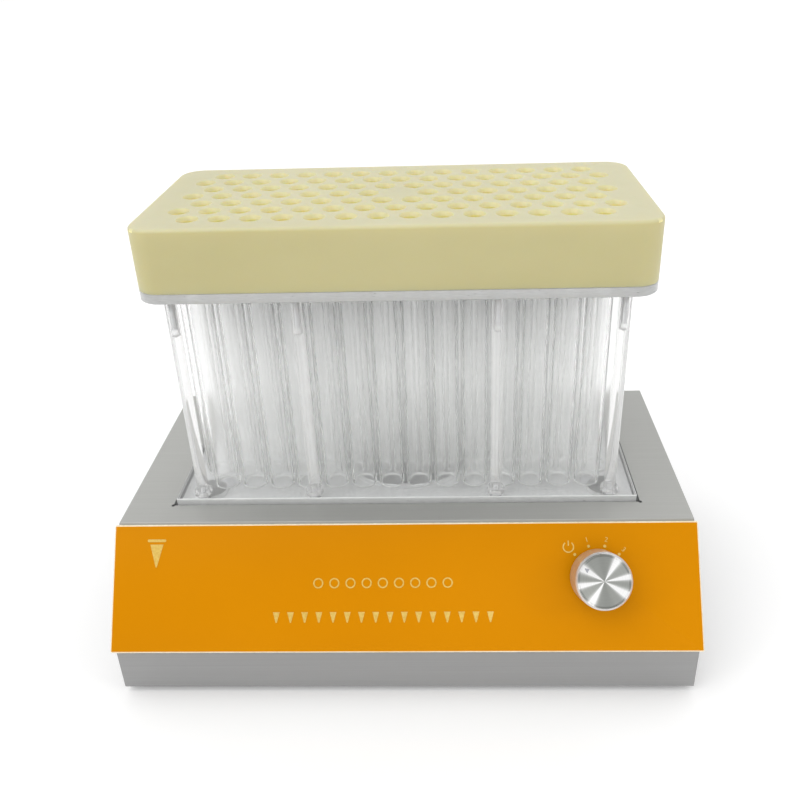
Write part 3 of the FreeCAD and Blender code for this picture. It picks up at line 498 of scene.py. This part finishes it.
def acrylic_edge():
    """The polished sawn edge of the orange sheet, which gathers light; its pale colour is a painted
    highlight for that light.
    """
    s = Shader("acrylic_edge", IOR=1.49, Coat_Weight=0.5)
    strokes = s.noise(60, 3, (1, 4, 4))
    # painted highlight: the edge's pale colour stands for the light it gathers
    s.colour(s.ramp(strokes, [(0.3, (0.93, 0.74, 0.42)), (0.7, (0.98, 0.9, 0.68))]))
    s.roughness(s.between(s.noise(300, 2), 0.2, 0.35))
    return s.material


def gold_ink():
    s = Shader("gold_ink", Metallic=0.35, Coat_Weight=0.2)
    s.colour(s.ramp(s.noise(900, 3), [(0.3, (0.78, 0.50, 0.09)), (0.7, (0.90, 0.64, 0.16))]))
    s.roughness(s.between(s.noise(1400, 2), 0.3, 0.5))
    s.bump([s.noise(2400, 2)], [0.00001], 0.4)
    return s.material


def spun_aluminium(centre, axis):
    """Lathe-turned metal: fine rings round the axis, gloss that spreads across them, and the star
    of bright spokes that such a face shows. The spokes are a painted reflection in its colour and
    turn with it.
    """
    # painted reflection: the bright spokes of the star, laid into the colour
    spokes = ((10, 160), (57, 90), (-31, 75))  # degrees round the face, and how narrow
    s = Shader("spun_aluminium", Metallic=1.0, Anisotropic=0.97, Roughness=0.34)
    coordinates = s.node("TexCoord")
    offset = s.node("VectorMath", operation="SUBTRACT")
    offset.inputs[1].default_value = centre
    s.link(coordinates.outputs["Object"], offset.inputs[0])
    round_axis = s.node("VectorMath", operation="CROSS_PRODUCT")
    round_axis.inputs[0].default_value = axis
    s.link(offset.outputs[0], round_axis.inputs[1])
    tangent = s.node("VectorMath", operation="NORMALIZE")
    s.link(round_axis.outputs[0], tangent.inputs[0])
    s.link(tangent.outputs[0], s.main.inputs["Tangent"])
    far = s.node("VectorMath", operation="LENGTH")
    s.link(round_axis.outputs[0], far.inputs[0])
    rings = s.node("TexNoise", noise_dimensions="1D")
    rings.inputs["Scale"].default_value = 2600
    rings.inputs["Detail"].default_value = 3
    s.link(far.outputs["Value"], rings.inputs["W"])
    rings = rings.outputs["Fac"]
    glow = None
    for angle, narrow in spokes:
        spoke = s.node("VectorMath", operation="DOT_PRODUCT")
        turn = math.radians(angle + 90)
        spoke.inputs[1].default_value = Vector((math.cos(turn), 0, 0)) + RISE * math.sin(turn)
        s.link(tangent.outputs[0], spoke.inputs[0])
        sharp = s.node("Math", operation="POWER")
        sharp.inputs[1].default_value = narrow
        both_ways = s.node("Math", operation="ABSOLUTE")
        s.link(spoke.outputs["Value"], both_ways.inputs[0])
        s.link(both_ways.outputs[0], sharp.inputs[0])
        if glow:
            both = s.node("Math", operation="ADD")
            s.link(glow, both.inputs[0])
            s.link(sharp.outputs[0], both.inputs[1])
            sharp = both
        glow = sharp.outputs[0]
    # the star is a painted reflection: the colour is darker between the spokes and bright along
    # them
    lathe = s.ramp(rings, [(0.3, (0.9, 0.9, 0.895)), (0.7, (1.0, 1.0, 0.995))])
    star = s.ramp(glow, [(0.0, (0.36, 0.37, 0.35)), (0.6, (1.0, 1.0, 1.0))])
    s.colour(s.mix("MULTIPLY", 1, lathe, star))
    s.bump([rings], [0.000006], 0.5)
    return s.material


def clear_acrylic(name, bend=1.49, haze=0.0, rough=0.0, ripple=0.00004):
    """Clear acrylic. Lamps shine through it, so what stands inside is lit; haze makes it glow."""
    s = Shader(name, IOR=bend, Transmission_Weight=1.0 - haze, Roughness=rough)
    s.main.inputs["Base Color"].default_value = (0.999, 1.0, 0.999, 1)
    s.bump([s.noise(45, 2)], [ripple], 0.3)
    light = s.node("LightPath")
    open_air = s.node("BsdfTransparent")
    open_air.inputs["Color"].default_value = (0.993, 0.994, 0.993, 1)
    mixed = s.node("MixShader")
    out = s.tree.nodes["Material Output"]
    s.link(light.outputs["Is Shadow Ray"], mixed.inputs["Fac"])
    s.link(s.main.outputs[0], mixed.inputs[1])
    s.link(open_air.outputs[0], mixed.inputs[2])
    s.link(mixed.outputs[0], out.inputs["Surface"])
    return s.material


def sawn_acrylic(name, tone, see_through):
    """The satin sawn edge of a clear sheet, with fine cross strokes. Its tone is partly painted
    light: lighter for lit edges, darker for shaded ones.
    """
    s = Shader(name, IOR=1.49, Transmission_Weight=see_through, Coat_Weight=0.5)
    strokes = s.noise(1.0, 4, (260, 260, 1800))
    s.colour(s.ramp(strokes, [(0.3, (tone * 0.86, tone * 0.87, tone * 0.86)),
                              (0.7, (tone, tone * 1.01, tone))]))
    s.roughness(s.between(strokes, 0.22, 0.4))
    s.bump([strokes], [0.00002], 0.5)
    return s.material


def circuit_board():
    """Green solder mask over faint copper tracks."""
    s = Shader("circuit_board", Coat_Weight=0.4)
    cells = s.node("TexBrick")
    cells.inputs["Scale"].default_value = 90
    cells.inputs["Color1"].default_value = (0.012, 0.12, 0.045, 1)
    cells.inputs["Color2"].default_value = (0.02, 0.19, 0.07, 1)
    cells.inputs["Mortar"].default_value = (0.03, 0.26, 0.10, 1)
    s.link(s.place(), cells.inputs["Vector"])
    s.colour(cells.outputs["Color"])
    s.roughness(s.between(s.noise(200, 2), 0.3, 0.45))
    return s.material


def floor_white():
    s = Shader("floor_white", Roughness=0.9, Emission_Strength=0.16)
    s.main.inputs["Emission Color"].default_value = (1, 1, 1, 1)
    s.colour(s.ramp(s.noise(3, 3), [(0.3, (0.93, 0.93, 0.93)), (0.7, (0.95, 0.95, 0.95))]))
    return s.material


# ---------------------------------------------------------------- the sloped panel's own axes

_, _, PANEL_MIDDLE, PANEL_SIZE = span("front_panel")
KNOB_AXIS = Vector(joint("knob_turn")["axis"]).normalized()
KNOB_FOOT = Vector(joint("knob_turn")["pos_m"])
RISE = Vector((0, KNOB_AXIS.z, -KNOB_AXIS.y))


def panel_sheet():
    """The panel's length up the slope and its thickness, worked out from its upright box."""
    a, b = RISE.y, abs(KNOB_AXIS.y)
    c, d = RISE.z, KNOB_AXIS.z
    spread = a * d - b * c
    length = (PANEL_SIZE.y * d - b * PANEL_SIZE.z) / spread
    thick = (a * PANEL_SIZE.z - c * PANEL_SIZE.y) / spread
    return length, thick


PANEL_LENGTH, PANEL_THICK = panel_sheet()


def slope_matrix(origin):
    """Local X across, Y up the slope, Z out of it."""
    turn = Matrix((Vector((1, 0, 0)), RISE, KNOB_AXIS)).transposed()
    return Matrix.Translation(origin) @ turn.to_4x4()


ON_PANEL_BACK = slope_matrix(PANEL_MIDDLE - KNOB_AXIS * PANEL_THICK / 2)
ON_KNOB = slope_matrix(KNOB_FOOT)
KNOB_AT = ON_PANEL_BACK.inverted() @ KNOB_FOOT


# ---------------------------------------------------------------- the tray and the rack

def tray(material, bore_material):
    """The thick cream tray: soft top rim, and a hundred funnel mouths that round into bores."""
    low, high, middle, size = span("funnel_tray")
    rim = 1.8 * MM
    foot = 0.4 * MM

    def outline(inset):
        return rounded_rectangle(size.x, size.y, RACK_CORNER, inset, 12, (middle.x, middle.y))

    levels = [(foot, low.z), (foot * 0.3, low.z + foot * 0.3), (0, low.z + foot)]
    levels += [(rim - rim * math.cos(a), high.z - rim + rim * math.sin(a))
               for a in (math.radians(15 * k) for k in range(7))]
    throat = high.z - 1.7 * MM
    mouth = [(FUNNEL_MOUTH, high.z), (FUNNEL_MOUTH - 0.25 * MM, high.z - 0.06 * MM),
             (FUNNEL_MOUTH - 0.5 * MM, high.z - 0.24 * MM),
             (FUNNEL_RADIUS + 0.35 * MM, throat + 0.1 * MM),
             (FUNNEL_RADIUS + 0.08 * MM, throat - 0.2 * MM),
             (FUNNEL_RADIUS, throat - 0.6 * MM), (FUNNEL_RADIUS, low.z)]
    holes = [(cell, mouth) for cell in ALL_CELLS]
    socket, socket_depth = 2.9 * MM, 6 * MM
    holes += [(pin, [(socket, low.z + socket_depth), (socket, low.z)]) for pin in PINS]
    bm = drilled_plate(outline, levels, holes)
    skin = 0.05 * MM
    border = 3 * MM
    for polygon in bm.faces:
        centre = polygon.calc_center_median()
        away = centre - middle
        inside = abs(away.x) < size.x / 2 - border and abs(away.y) < size.y / 2 - border
        if inside and low.z + skin < centre.z < high.z - skin:
            # the bore faces take the second material, a brighter copy of the cream: painted glow
            polygon.material_index = 1
    piece = make_piece("cream_tray", bm, material, "tray", ["funnel_tray"])
    piece.data.materials.append(bore_material)


def top_deck(material, edge):
    """The clear deck under the tray, with a tube seat below each bore."""
    low, high, middle, size = span("rack_top_deck")
    soft = 0.35 * MM

    def outline(inset):
        return rounded_rectangle(size.x, size.y, RACK_CORNER, inset, 12, (middle.x, middle.y))

    levels = [(soft, low.z), (0, low.z + soft), (0, high.z - soft), (soft, high.z)]
    seat = low.z + SEAT_DEPTH
    holes = [(cell, [(TUBE_BORE, high.z), (TUBE_BORE, seat), (SEAT_RADIUS, seat),
                     (SEAT_RADIUS, low.z)]) for cell in ALL_CELLS]
    sink = SCREW_HEAD - ROD_TAP
    holes += [(rod, [(SCREW_HEAD, high.z), (ROD_TAP, high.z - sink), (ROD_TAP, low.z)])
              for rod in RODS]
    bore, bore_depth = PIN_RADIUS + HAIR, 4 * MM
    holes += [(pin, [(bore, high.z), (bore, high.z - bore_depth)]) for pin in PINS]
    # the rim takes the edge material in its darker tone: painted shade under the tray
    bm = drilled_plate(outline, levels, holes, 40, 1)
    deck = make_piece("top_deck", bm, material, "rack", ["rack_top_deck"])
    deck.data.materials.append(edge)


def bottom_deck(material, edge):
    """The clear deck that the tubes stand in, square-cornered, its edges and seats left satin, in a
    pale tone that is partly painted light.
    """
    low, high, middle, size = span("rack_bottom_deck")
    soft = 0.45 * MM

    def outline(inset):
        return rounded_rectangle(size.x, size.y, 0.8 * MM, inset, 3, (middle.x, middle.y))

    levels = [(soft, low.z), (0, low.z + soft), (0, high.z - soft), (soft, high.z)]
    seat = high.z - SEAT_DEPTH
    holes = [(cell, [(SEAT_RADIUS, high.z), (SEAT_RADIUS, seat)]) for cell in ALL_CELLS]
    sink = SCREW_HEAD - ROD_TAP
    holes += [(rod, [(ROD_TAP, high.z), (ROD_TAP, low.z + sink), (SCREW_HEAD, low.z)])
              for rod in RODS]
    bm = drilled_plate(outline, levels, holes, 40, 1)
    # upright faces take the bright edge material: satin, and partly painted light
    bm.normal_update()
    for polygon in bm.faces:
        if abs(polygon.normal.z) < 0.5:
            polygon.material_index = 1
    deck = make_piece("bottom_deck", bm, material, "rack", ["rack_bottom_deck"])
    deck.data.materials.append(edge)


def tubes(material, end):
    """The hundred clear tubes, one piece to each row, with pale sawn ends; the pale ring is partly
    a painted highlight.
    """
    soft, end_depth = 0.25 * MM, 0.4 * MM
    for index, row in enumerate(CELLS):
        node = f"tube_row_{index + 1}"
        low, high, _, _ = span(node)
        bm = bmesh.new()
        for cell in row:
            annulus(bm, cell, TUBE_RADIUS, TUBE_BORE, low.z + HAIR, high.z - HAIR, soft)
        for polygon in bm.faces:
            height = polygon.calc_center_median().z
            # faces within end_depth of either end take the pale edge material: a bright ring,
            # partly painted highlight
            polygon.material_index = int(min(height - low.z, high.z - height) < end_depth)
        row_piece = make_piece(f"tubes_{index + 1}", bm, material, "rack", [node])
        row_piece.data.materials.append(end)


def rods(material):
    """Eight clear rods, tapped at both ends, and the clear collar round each foot."""
    upper_tap, lower_tap, tap_point = 18 * MM, 6 * MM, 0.9 * MM
    soft = 0.3 * MM
    for node, row in (("rods_front", RODS[:4]), ("rods_rear", RODS[4:])):
        low, high, _, _ = span(node)
        z0, z1 = low.z + HAIR, high.z - HAIR
        bm = bmesh.new()
        for place in row:
            turned(bm, [
                (ROD_TAP, z0), (ROD_RADIUS - soft, z0), (ROD_RADIUS, z0 + soft),
                (ROD_RADIUS, z1 - soft), (ROD_RADIUS - soft, z1), (ROD_TAP, z1),
                (ROD_TAP, z1 - upper_tap), (0, z1 - upper_tap - tap_point),
            ], place, closed=False)
            turned(bm, [
                (ROD_TAP, z0), (ROD_TAP, z0 + lower_tap), (0, z0 + lower_tap + tap_point),
            ], place, closed=False)
        bmesh.ops.remove_doubles(bm, verts=bm.verts, dist=SAME_LEVEL)
        make_piece(node + "_clear", bm, material, "rack", [node])
    low, high, _, _ = span("rod_collars")
    outer, inner, soft = 4.7 * MM, ROD_RADIUS + 0.05 * MM, 0.4 * MM
    bm = bmesh.new()
    for place in RODS:
        annulus(bm, place, outer, inner, low.z + HAIR, high.z, soft)
    make_piece("foot_collars", bm, material, "rack", ["rod_collars"])


def rack_screws(material):
    """Sixteen flush screws with real threads, up and down into the rods' ends."""
    low, high, _, _ = span("rack_screws")
    upper_length, lower_length = 20 * MM, 10 * MM
    radius, head_radius, pitch = 1.48 * MM, 3 * MM, 0.5 * MM
    bm = bmesh.new()
    for place in RODS:
        for head, tip in ((high.z, high.z - upper_length), (low.z, low.z + lower_length)):
            threaded_screw(bm, place, head, tip, radius, head_radius, pitch)
    make_piece("deck_screws", bm, material, "rack", ["rack_screws"])


def locating_pins(material):
    """Four bright pins with rounded noses."""
    low, high, _, _ = span("locating_pins")
    nose, bevel = 0.8 * MM, 0.2 * MM
    bm = bmesh.new()
    for place in PINS:
        outline = [(0, low.z), (PIN_RADIUS - bevel, low.z), (PIN_RADIUS, low.z + bevel)]
        outline += [(PIN_RADIUS - nose + nose * math.cos(a), high.z - nose + nose * math.sin(a))
                    for a in (math.radians(22.5 * k) for k in range(5))]
        outline += [(0, high.z)]
        turned(bm, outline, place, 32, closed=False)
    make_piece("tray_pins", bm, material, "rack", ["locating_pins"])


# ---------------------------------------------------------------- the orange panel and its marks

def panel(face, edge):
    """The orange sheet, its rim bevelled and polished, with the hole for the switch's bush."""
    bevel, corner, hole = 0.7 * MM, 1.0 * MM, 4.9 * MM

    def outline(inset):
        return rounded_rectangle(PANEL_SIZE.x, PANEL_LENGTH, corner, inset, 4)

    levels = [(0, 0), (0, PANEL_THICK - bevel), (bevel * 0.3, PANEL_THICK - bevel * 0.3),
              (bevel, PANEL_THICK)]
    bore = ((KNOB_AT.x, KNOB_AT.y), [(hole, PANEL_THICK), (hole, 0)])
    bm = drilled_plate(outline, levels, [bore], 32, 1)
    bm.transform(ON_PANEL_BACK)
    piece = make_piece("orange_panel", bm, face, "base", ["front_panel"], 25)
    piece.data.materials.append(edge)


def flat_mark(bm, outline, thick):
    """A printed shape: an outline raised by the ink's thickness."""
    bottom = [bm.verts.new((x, y, 0)) for x, y in outline]
    top = [bm.verts.new((x, y, thick)) for x, y in outline]
    bridge(bm, bottom, top)
    bm.faces.new(top)
    bm.faces.new(bottom[::-1])


def bar(cx, cy, width, height):
    """A short bar with round ends, whose radius is a hair under half its width."""
    return rounded_rectangle(width, height, min(width, height) / 2.001, 0, 4, (cx, cy))


def cone_mark(bm, across, foot, width, height, thick):
    """A plain paper cone on its tip."""
    tip = 0.6 * MM
    flat_mark(bm, [(across - width / 2, foot + height), (across - tip / 2, foot),
                   (across + tip / 2, foot), (across + width / 2, foot + height)], thick)


def ring_mark(bm, across, up, outer, inner, thick):
    """A plain printed ring."""
    turned(bm, [(outer, 0), (outer, thick), (inner, thick), (inner, 0)], (across, up), 32)


def broken_ring(cx, cy, radius, width, gap):
    """The open ring of a power sign, its gap at the top."""
    start, end = 90 + gap / 2, 450 - gap / 2
    outer = arc(cx, cy, radius + width / 2, start, end, 28)
    inner = arc(cx, cy, radius - width / 2, end, start, 28)
    return outer + inner


def digit(text, cx, cy, height, thick, lean):
    """A dial number as a flat mesh, in the panel's own axes."""
    curve = bpy.data.curves.new("digit", "FONT")
    curve.body = text
    curve.align_x = "CENTER"
    curve.align_y = "CENTER"
    curve.size = height
    curve.extrude = thick / 2
    holder = bpy.data.objects.new("digit", curve)
    mesh = bpy.data.meshes.new_from_object(holder)
    bpy.data.objects.remove(holder)
    bpy.data.curves.remove(curve)
    bm = bmesh.new()
    bm.from_mesh(mesh)
    bpy.data.meshes.remove(mesh)
    bm.transform(Matrix.Translation((cx, cy, thick / 2)) @ Matrix.Rotation(lean, 4, "Z"))
    return bm


def on_dial(radius, angle):
    """A point at an angle from straight up, round the knob."""
    return KNOB_AT.x + radius * math.sin(angle), KNOB_AT.y + radius * math.cos(angle)


def dial_marks(bm, thick):
    """Four dots 30 degrees apart, a power sign by the first and numbers by the rest."""
    dial, dot_radius = 15.7 * MM, 0.75 * MM
    number_out, number_height = 3.3 * MM, 3.4 * MM
    angles = [math.radians(-45 + 30 * k) for k in range(4)]
    for a in angles:
        flat_mark(bm, arc(*on_dial(dial, a), dot_radius, 0, 345, 23), thick)
    power_x, power_y, stroke = KNOB_AT.x - 14.2 * MM, KNOB_AT.y + 14.9 * MM, 0.6 * MM
    flat_mark(bm, broken_ring(power_x, power_y, 2.6 * MM, stroke, 76), thick)
    flat_mark(bm, bar(power_x, power_y + 1.9 * MM, stroke, 2.6 * MM), thick)
    for text, a in zip("123", angles[1:]):
        made = digit(text, *on_dial(dial + number_out, a), number_height, thick, -a)
        made_mesh = bpy.data.meshes.new("digit")
        made.to_mesh(made_mesh)
        made.free()
        bm.from_mesh(made_mesh)
        bpy.data.meshes.remove(made_mesh)


def printed_marks(ink):
    """Dial dots, numbers and power sign, with plain rings and cones for decoration."""
    thick = 0.12 * MM
    bm = bmesh.new()
    dial_marks(bm, thick)
    middle = -10.5 * MM
    rings, ring_pitch, ring_up = 9, 8.2 * MM, 2.2 * MM
    for k in range(rings):
        across = middle + (k - (rings - 1) / 2) * ring_pitch
        ring_mark(bm, across, ring_up, 2.6 * MM, 1.9 * MM, thick)
    cones, cone_pitch, cone_foot = 16, 7.2 * MM, -17.2 * MM
    for k in range(cones):
        across = middle + (k - (cones - 1) / 2) * cone_pitch
        cone_mark(bm, across, cone_foot, 3.4 * MM, 5.2 * MM, thick)
    sign_across, sign_foot, sign_height, sign_width = -126.7 * MM, 10.5 * MM, 11.5 * MM, 6.8 * MM
    cone_mark(bm, sign_across, sign_foot, sign_width, sign_height, thick)
    lid, lid_gap = 1.4 * MM, 1.2 * MM
    lid_up = sign_foot + sign_height + lid_gap + lid / 2
    flat_mark(bm, bar(sign_across, lid_up, sign_width + 2 * lid, lid), thick)
    bm.transform(ON_PANEL_BACK @ Matrix.Translation((0, 0, PANEL_THICK)))
    make_piece("gold_marks", bm, ink, "base", ["printed_marks"], 30)


def knob(face, side, paint):
    """The turned knob: skirt, polished bevel, thin groove and spun face, hollow underneath."""
    out = PANEL_THICK + 0.8 * MM
    top = out + 18.6 * MM
    r = 14 * MM
    hollow = out + 12 * MM
    bore, boss, wall = 3.02 * MM, 5.5 * MM, 11.5 * MM
    under = top - 1.5 * MM
    ink, pointer_turn = 0.06 * MM, math.radians(56.6)
    outline = [
        (0, under), (bore, under), (bore, out + 2.5 * MM), (boss, out + 2.5 * MM), (boss, hollow),
        (wall, hollow), (wall, out), (r - 0.35 * MM, out), (r, out + 0.35 * MM),
    ]
    skirt = [(r - 0.15 * MM, top - 1.5 * MM), (r - 0.3 * MM, top - 1.2 * MM)]
    bevel = [(r - 1.1 * MM, top - 0.15 * MM), (r - 1.25 * MM, top), (r - 1.6 * MM, top),
             (r - 1.75 * MM, top - 0.22 * MM), (r - 2.0 * MM, top - 0.22 * MM),
             (r - 2.15 * MM, top - 0.05 * MM)]
    bm = bmesh.new()
    turned(bm, outline + skirt + bevel + [(0, top - 0.05 * MM)], segments=128, closed=False)
    for polygon in bm.faces:
        middle = polygon.calc_center_median()
        polygon.material_index = int(not (middle.z > top - 0.5 * MM and middle.xy.length < r))
    bm.transform(ON_KNOB)
    piece = make_piece("spun_knob", bm, face, "knob", ["knob"], 25)
    piece.data.materials.append(side)
    mark = bmesh.new()
    points = [(-1.2, 9.0), (1.2, 9.0), (0.15, 11.1), (-0.15, 11.1)]
    flat_mark(mark, [(x * MM, y * MM) for x, y in points], ink)
    turn = Matrix.Rotation(pointer_turn, 4, "Z")
    mark.transform(ON_KNOB @ Matrix.Translation((0, 0, top - 0.07 * MM)) @ turn)
    make_piece("knob_mark", mark, paint, "knob", ["knob_pointer"])


# ---------------------------------------------------------------- feet and CAD parts that stay

def feet(rubber):
    """Rubber feet with a rounded foot rim, a ribbed side and a deep screw recess."""
    bore, recess, recess_depth = 2.1 * MM, 4.6 * MM, 2.5 * MM
    grooves, groove_depth = 3, 0.25 * MM
    for corner in ("front_left", "front_right", "rear_left", "rear_right"):
        low, high, middle, size = span("foot_" + corner)
        r = size.x / 2
        bm = bmesh.new()
        outline = [(bore, high.z), (bore, low.z + recess_depth), (recess, low.z + recess_depth),
                   (recess, low.z + 0.3 * MM), (recess + 0.3 * MM, low.z), (r - 0.9 * MM, low.z),
                   (r - 0.3 * MM, low.z + 0.3 * MM), (r, low.z + 0.9 * MM)]
        for k in range(grooves):
            level = low.z + (1.3 + 0.8 * k) * MM
            outline += [(r, level), (r - groove_depth, level + 0.2 * MM),
                        (r - groove_depth, level + 0.4 * MM), (r, level + 0.6 * MM)]
        outline += [(r, high.z)]
        turned(bm, outline, middle.xy)
        make_piece("rubber_foot_" + corner, bm, rubber, "base", ["foot_" + corner])


def dress_nodes(material, *nodes):
    """Gives CAD nodes that stay a material of their own."""
    for name in nodes:
        node = frame["nodes"][name]
        node.data.materials.clear()
        node.data.materials.append(material)
        node.data.shade_smooth()
        node.data.set_sharp_from_angle(angle=math.radians(30))


# ---------------------------------------------------------------- camera, floor and light

def photograph_camera():
    """The viewing angle of the photograph, a little right of the middle and looking down."""
    place = (0.0254, -0.396, 0.3521)
    heading, looking_down, leaning = 2.173, 27.21, -1.785
    data = bpy.data.cameras.new("camera")
    data.lens = 37.96
    data.shift_x = -0.028
    data.shift_y = -0.0415
    data.clip_start = 0.01
    data.clip_end = 50
    camera = bpy.data.objects.new("camera", data)
    turn = Matrix.Rotation(math.radians(heading), 4, "Z")
    tilt = Matrix.Rotation(math.radians(90 - looking_down), 4, "X")
    roll = Matrix.Rotation(math.radians(leaning), 4, "Z")
    camera.matrix_world = Matrix.Translation(place) @ turn @ tilt @ roll
    bpy.context.scene.collection.objects.link(camera)
    bpy.context.scene.camera = camera


def floor(material):
    bm = bmesh.new()
    bmesh.ops.create_grid(bm, x_segments=8, y_segments=8, size=6)
    mesh = bpy.data.meshes.new("floor")
    bm.to_mesh(mesh)
    bm.free()
    mesh.materials.append(material)
    plane = bpy.data.objects.new("floor", mesh)
    bpy.context.scene.collection.objects.link(plane)


def lamp(name, place, target, size, power):
    """A rectangular soft box, turned to a target."""
    data = bpy.data.lights.new(name, "AREA")
    data.shape = "RECTANGLE"
    data.size, data.size_y = size
    data.energy = power
    made = bpy.data.objects.new(name, data)
    made.location = place
    aim = Vector(target) - Vector(place)
    made.rotation_euler = aim.to_track_quat("-Z", "Y").to_euler()
    bpy.context.scene.collection.objects.link(made)


def studio():
    """A pale room, brighter above and behind, a wide soft sun and soft boxes. Its walls look white
    to the camera.
    """
    brightest_way = (0, 0.5, 0.866)
    dimmest, brightest = 0.12, 1.0
    world = bpy.data.worlds.new("studio")
    world.use_nodes = True
    tree = world.node_tree
    backdrop = tree.nodes["Background"]
    backdrop.inputs["Color"].default_value = (1.0, 1.0, 1.0, 1)
    direction = tree.nodes.new("ShaderNodeTexCoord")
    lean = tree.nodes.new("ShaderNodeVectorMath")
    lean.operation = "DOT_PRODUCT"
    lean.inputs[1].default_value = brightest_way
    spread = tree.nodes.new("ShaderNodeMapRange")
    for socket, value in (("From Min", -1), ("From Max", 1), ("To Min", dimmest),
                          ("To Max", brightest)):
        spread.inputs[socket].default_value = value
    tree.links.new(direction.outputs["Generated"], lean.inputs[0])
    tree.links.new(lean.outputs["Value"], spread.inputs["Value"])
    light = tree.nodes.new("ShaderNodeLightPath")
    seen = tree.nodes.new("ShaderNodeMix")
    seen.inputs["B"].default_value = 1
    tree.links.new(light.outputs["Is Camera Ray"], seen.inputs["Factor"])
    tree.links.new(spread.outputs["Result"], seen.inputs["A"])
    tree.links.new(seen.outputs["Result"], backdrop.inputs["Strength"])
    bpy.context.scene.world = world
    data = bpy.data.lights.new("sun", "SUN")
    data.energy = 0.7
    data.angle = math.radians(50)
    sun = bpy.data.objects.new("sun", data)
    sun.rotation_euler = Vector((0.5, 0.35, -1)).to_track_quat("-Z", "Y").to_euler()
    bpy.context.scene.collection.objects.link(sun)
    middle = (0, 0, 0.1)
    lamp("left_box", (-1.3, -0.9, 0.75), middle, (0.25, 0.6), 1.6)
    lamp("right_box", (1.4, -0.7, 0.9), middle, (0.25, 0.5), 1.6)
    lamp("front_box", (0.29, -1.15, 0.52), middle, (0.4, 0.4), 0.7)
    # light passes through many tube walls, so the paths are long
    scene = bpy.context.scene
    scene.view_settings.view_transform = "Standard"
    scene.cycles.max_bounces = 48
    scene.cycles.transmission_bounces = 44
    scene.cycles.glossy_bounces = 44
    scene.cycles.diffuse_bounces = 4
    scene.cycles.transparent_max_bounces = 160
    scene.cycles.caustics_reflective = False
    scene.cycles.caustics_refractive = True
    scene.cycles.sample_clamp_indirect = 3


# ---------------------------------------------------------------- putting it together

STEEL = steel_sheet()
ZINC = plain_metal("zinc_plated", (0.55, 0.56, 0.58), 0.34)
BRIGHT = plain_metal("bright_steel", (0.74, 0.75, 0.76), 0.2, 900)
BRASS = plain_metal("brass", (0.72, 0.50, 0.2), 0.28)
ALUMINIUM = plain_metal("milled_aluminium", (0.93, 0.94, 0.94), 0.5, 700, 0.35)
NYLON = plastic("white_nylon", (0.84, 0.85, 0.84), 0.5)
RUBBER = plastic("black_rubber", (0.022, 0.022, 0.023), 0.75, 900, 0.00008)
BLACK = plastic("black_moulding", (0.02, 0.02, 0.022), 0.42)
KNOB_SIDE = plain_metal("knob_side", (0.80, 0.79, 0.78), 0.34, 500, 0.75)
PAINT = plastic("pointer_grey", (0.42, 0.43, 0.47), 0.5)
CLEAR = clear_acrylic("clear_acrylic")
# The same satin edge in two tones: a darker one, painted shade, for the top deck's rim under the
# tray; a bright one, painted light, for the bottom deck's edges and seats and the tube ends.
SHADED_SAWN = sawn_acrylic("sawn_acrylic", 0.7, 0.3)
LIT_SAWN = sawn_acrylic("lit_sawn_acrylic", 0.97, 0.15)
# These three bend light less than the real 1.49, so that a hundred tubes stay readable.
CLEAR_TUBE = clear_acrylic("clear_tube", 1.14, 0.05, 0.22, ripple=0.000004)
CLEAR_DECK = clear_acrylic("clear_deck", 1.4, 0.14, 0.03)
HAZY_ROD = clear_acrylic("hazy_rod", 1.45, 0.2, 0.03)

tray(cream_plastic("cream_plastic"), cream_plastic("cream_bores_painted_glow", 1.65))
top_deck(CLEAR, SHADED_SAWN)
bottom_deck(CLEAR_DECK, LIT_SAWN)
tubes(CLEAR_TUBE, LIT_SAWN)
rods(HAZY_ROD)
rack_screws(BRIGHT)
locating_pins(BRIGHT)
panel(orange_acrylic(), acrylic_edge())
printed_marks(gold_ink())
knob(spun_aluminium(KNOB_FOOT, KNOB_AXIS), KNOB_SIDE, PAINT)
feet(RUBBER)

dress_nodes(STEEL, "housing_shell", "bottom_cover")
dress_nodes(ZINC, "mounting_blocks", "cover_screws", "foot_screws", "board_screws",
            "inlet_screws", "isolator_posts", "isolator_screws", "bracket_screws", "switch_nut",
            "eccentric_weight_left", "eccentric_weight_right", "rotor_core", "rotor_shaft",
            "motor_bracket", "motor_can", "board_standoffs", "switch_shaft", "power_supply")
dress_nodes(RUBBER, "isolator_front_left", "isolator_front_right", "isolator_rear_left",
            "isolator_rear_right")
dress_nodes(NYLON, "rack_pads")
dress_nodes(BLACK, "switch_body", "power_inlet", "fuse_holder", "fuse_cap", "board_components",
            "inlet_leads", "switch_leads")
dress_nodes(circuit_board(), "control_board")
dress_nodes(BRASS, "inlet_blades", "motor_bearings")
dress_nodes(ALUMINIUM, "platform_plate", "platform_disc")

floor(floor_white())
studio()
photograph_camera()
